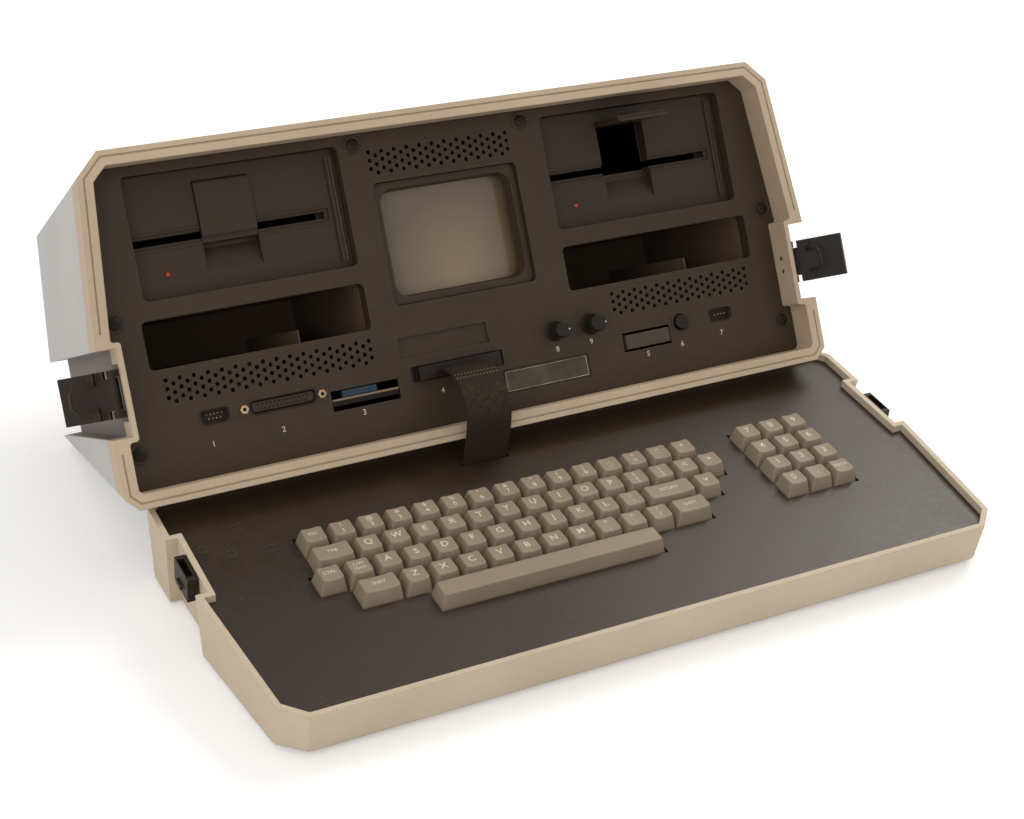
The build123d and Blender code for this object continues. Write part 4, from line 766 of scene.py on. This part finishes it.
# Drive fronts and bezel -------------------------------------------------------------------------------
MOUTH = -7.0
for side, name in ((-1, "left"), (1, "right")):
    middle = side * 147.5
    trim = Shape(RIM)
    for start, end in ((-65.5, -19.3), (19.3, 65.5)):
        x, length = middle + MOUTH + (start + end) / 2, end - start
        for v, high, up in ((155.9, 2.0, 0.45), (167.5, 1.1, 0.25)):
            trim.slab(rounded(length, high, 0.5, x, v, 4), FACE_W - 0.2, FACE_W + up, min(up, 0.4), 0, 4)
    for x, wide, up in ((69.2, 1.3, 0.5), (66.6, 0.7, 0.3)):
        rib = rounded(wide, 70.0, 0.3, middle + x, 164.5, 4)
        trim.slab(rib, FACE_W - 0.2, FACE_W + up, min(up, 0.35), 1, 4)
    trim.build("drive_trim_" + name, "main_unit", [drive_brown, gloss_brown], slot="drive_plastic")

NOTCH_WALL = 244.1
OUT_OF_WALL = Matrix(((0, 0, -1, NOTCH_WALL), (0, 1, 0, 0), (1, 0, 0, 0), (0, 0, 0, 1)))  # its z is -X
# painted shade: two dark domed discs on the notch wall stand for its rivet holes
rivet_hole_shades = Shape(OUT_OF_WALL)
for v, w in ((76.7, -11.3), (67.3, -11.3)):
    place = RIM @ Vector((0, v, w))
    domed = [(1.5, -0.1), (1.45, 0.12), (1.2, 0.2), (0.9, 0.05), (0.05, -0.02)]
    rivet_hole_shades.turned(place.z, place.y, domed, 20, 0)
rivet_hole_shades.build("notch_rivet_hole_shades", "main_unit", [latch_black], slot="latch_steel")

rings = Shape(DECK)
for x, s in ((-241.6, 60.8), (-226.5, 70.1), (-203.6, 74.0)):
    ridge = [(3.5, -0.1), (3.4, 0.1), (3.2, 0.18), (3.0, 0.1), (2.9, -0.1)]
    rings.turned(x, -s, ridge, 28, 0, last=False)
rings.build("bezel_mould_rings", "keyboard_unit", [deck_brown], slot="panel_plastic")

# Flat cable ------------------------------------------------------------------------------------------
CABLE_X, CABLE_W, CABLE_T = -19.0, 33.0, 3.0
ROUTE = [(47.0, -15.0), (47.0, -3.0), (40.5, 9.5), (28.5, 17.0), (14.5, 17.5), (2.5, 11.0)]
DROP = [(32.3, 8.0), (31.7, -3.0), (31.7, -16.0)]
path = bpy.data.curves.new("cable_route", "CURVE")
path.dimensions, path.resolution_u = "3D", 10
spline = path.splines.new("NURBS")
stops = [RIM @ Vector((CABLE_X, v, w)) for v, w in ROUTE]
stops += [DECK @ Vector((CABLE_X - DECK_SHIFT, -s, n)) for s, n in DROP]
spline.points.add(len(stops) - 1)
for point, stop in zip(spline.points, stops):
    point.co = (*stop, 1)
spline.order_u, spline.use_endpoint_u = 3, True
line = [v.co.copy() for v in flattened(bpy.data.objects.new("cable_route", path)).vertices]
cable = Shape(Matrix.Identity(4))
section = rounded(CABLE_W - 0.4, CABLE_T - 0.6, 1.15, 0, 0, 5, 12)
rings, run, along, across = [], 0.0, [], []
for i, p in enumerate(line):
    ahead = line[min(i + 1, len(line) - 1)] - line[max(i - 1, 0)]
    out = Vector((1, 0, 0)).cross(ahead.normalized())
    run += (p - line[i - 1]).length if i else 0.0
    belly = 1 + 0.05 * sin(run / 9.0)
    rings.append([p + Vector((x, 0, 0)) + out * (y * belly) for x, y in section])
    along += [run] * len(section)
    across += [x if y > 0 else -x for x, y in section]
cable.loft(rings, 0)
sleeve_piece = cable.build("cable_sleeve", None, [sleeve], ("keyboard_cable",), "cable_vinyl")
uv = sleeve_piece.data.uv_layers.new(name="run")
for loop in sleeve_piece.data.loops:
    uv.data[loop.index].uv = (across[loop.vertex_index], along[loop.vertex_index])
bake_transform(sleeve_piece)

# Stage, light and camera -------------------------------------------------------------------------------
FLOOR_GLOW, SKY_LIGHT = 0.27, 0.76
EYE = (-0.515583, -1.022982, 0.665973)
floor_mesh = bpy.data.meshes.new("floor")
floor_mesh.from_pydata([(-12, -8, 0), (12, -8, 0), (12, 16, 0), (-12, 16, 0)], [], [(0, 1, 2, 3)])
floor = bpy.data.objects.new("floor", floor_mesh)
bpy.context.scene.collection.objects.link(floor)
ground = Finish("pale_floor")
ground.set(Base_Color=(0.86, 0.86, 0.865, 1.0), Roughness=0.9, Specular_IOR_Level=0.1)
light_path = ground.tree.nodes.new("ShaderNodeLightPath")
seen = Value(ground, light_path.outputs["Is Camera Ray"])
for ray in ("Is Glossy Ray", "Is Transmission Ray"):
    seen = seen.sum("MAXIMUM", Value(ground, light_path.outputs[ray]))
glow = ground.node("Emission", {}, (1.0, 1.0, 1.0, 1.0), seen * FLOOR_GLOW)
both = ground.node("AddShader", {}, Value(ground, ground.surface.outputs[0]), glow)
ground.tree.links.new(both.socket, ground.tree.nodes["Material Output"].inputs["Surface"])
floor_mesh.materials.append(ground.material)

world = bpy.data.worlds.new("studio")
world.use_nodes = True
bpy.context.scene.world = world
sky = world.node_tree.nodes["Background"]
sky.inputs["Color"].default_value = (1.0, 0.975, 0.94, 1.0)
sky.inputs["Strength"].default_value = SKY_LIGHT


def softbox(name, place, aim, size, power, colour):
    lamp = bpy.data.lights.new(name, "AREA")
    lamp.shape, lamp.size, lamp.energy, lamp.color = "SQUARE", size, power, colour
    holder = bpy.data.objects.new(name, lamp)
    holder.location = place
    holder.rotation_euler = (Vector(aim) - Vector(place)).to_track_quat("-Z", "Y").to_euler()
    bpy.context.scene.collection.objects.link(holder)


softbox("key", (1.6, 0.5, 1.75), (0.05, -0.1, 0.05), 1.2, 21, (1.0, 0.96, 0.9))
softbox("fill", (-1.7, -1.5, 1.3), (-0.1, -0.2, 0.1), 1.4, 11, (0.97, 0.985, 1.0))

YAW, PITCH_DOWN, ROLL = radians(28.877), radians(-26.838), radians(2.064)
ahead = Vector((sin(YAW) * cos(PITCH_DOWN), cos(YAW) * cos(PITCH_DOWN), sin(PITCH_DOWN)))
right = Vector((cos(YAW), -sin(YAW), 0))
up = right.cross(ahead)
right, up = right * cos(ROLL) + up * sin(ROLL), up * cos(ROLL) - right * sin(ROLL)
lens = bpy.data.cameras.new("camera")
lens.lens, lens.sensor_width, lens.sensor_fit = 65.94, 36.0, "HORIZONTAL"
lens.shift_x, lens.shift_y = -0.0246, -0.0348
camera = bpy.data.objects.new("camera", lens)
axes = Matrix((right, up, -ahead)).transposed().to_4x4()
camera.matrix_world = Matrix.Translation(EYE) @ axes
bpy.context.scene.collection.objects.link(camera)
bpy.context.scene.camera = camera
bpy.context.scene.view_settings.view_transform = "Standard"
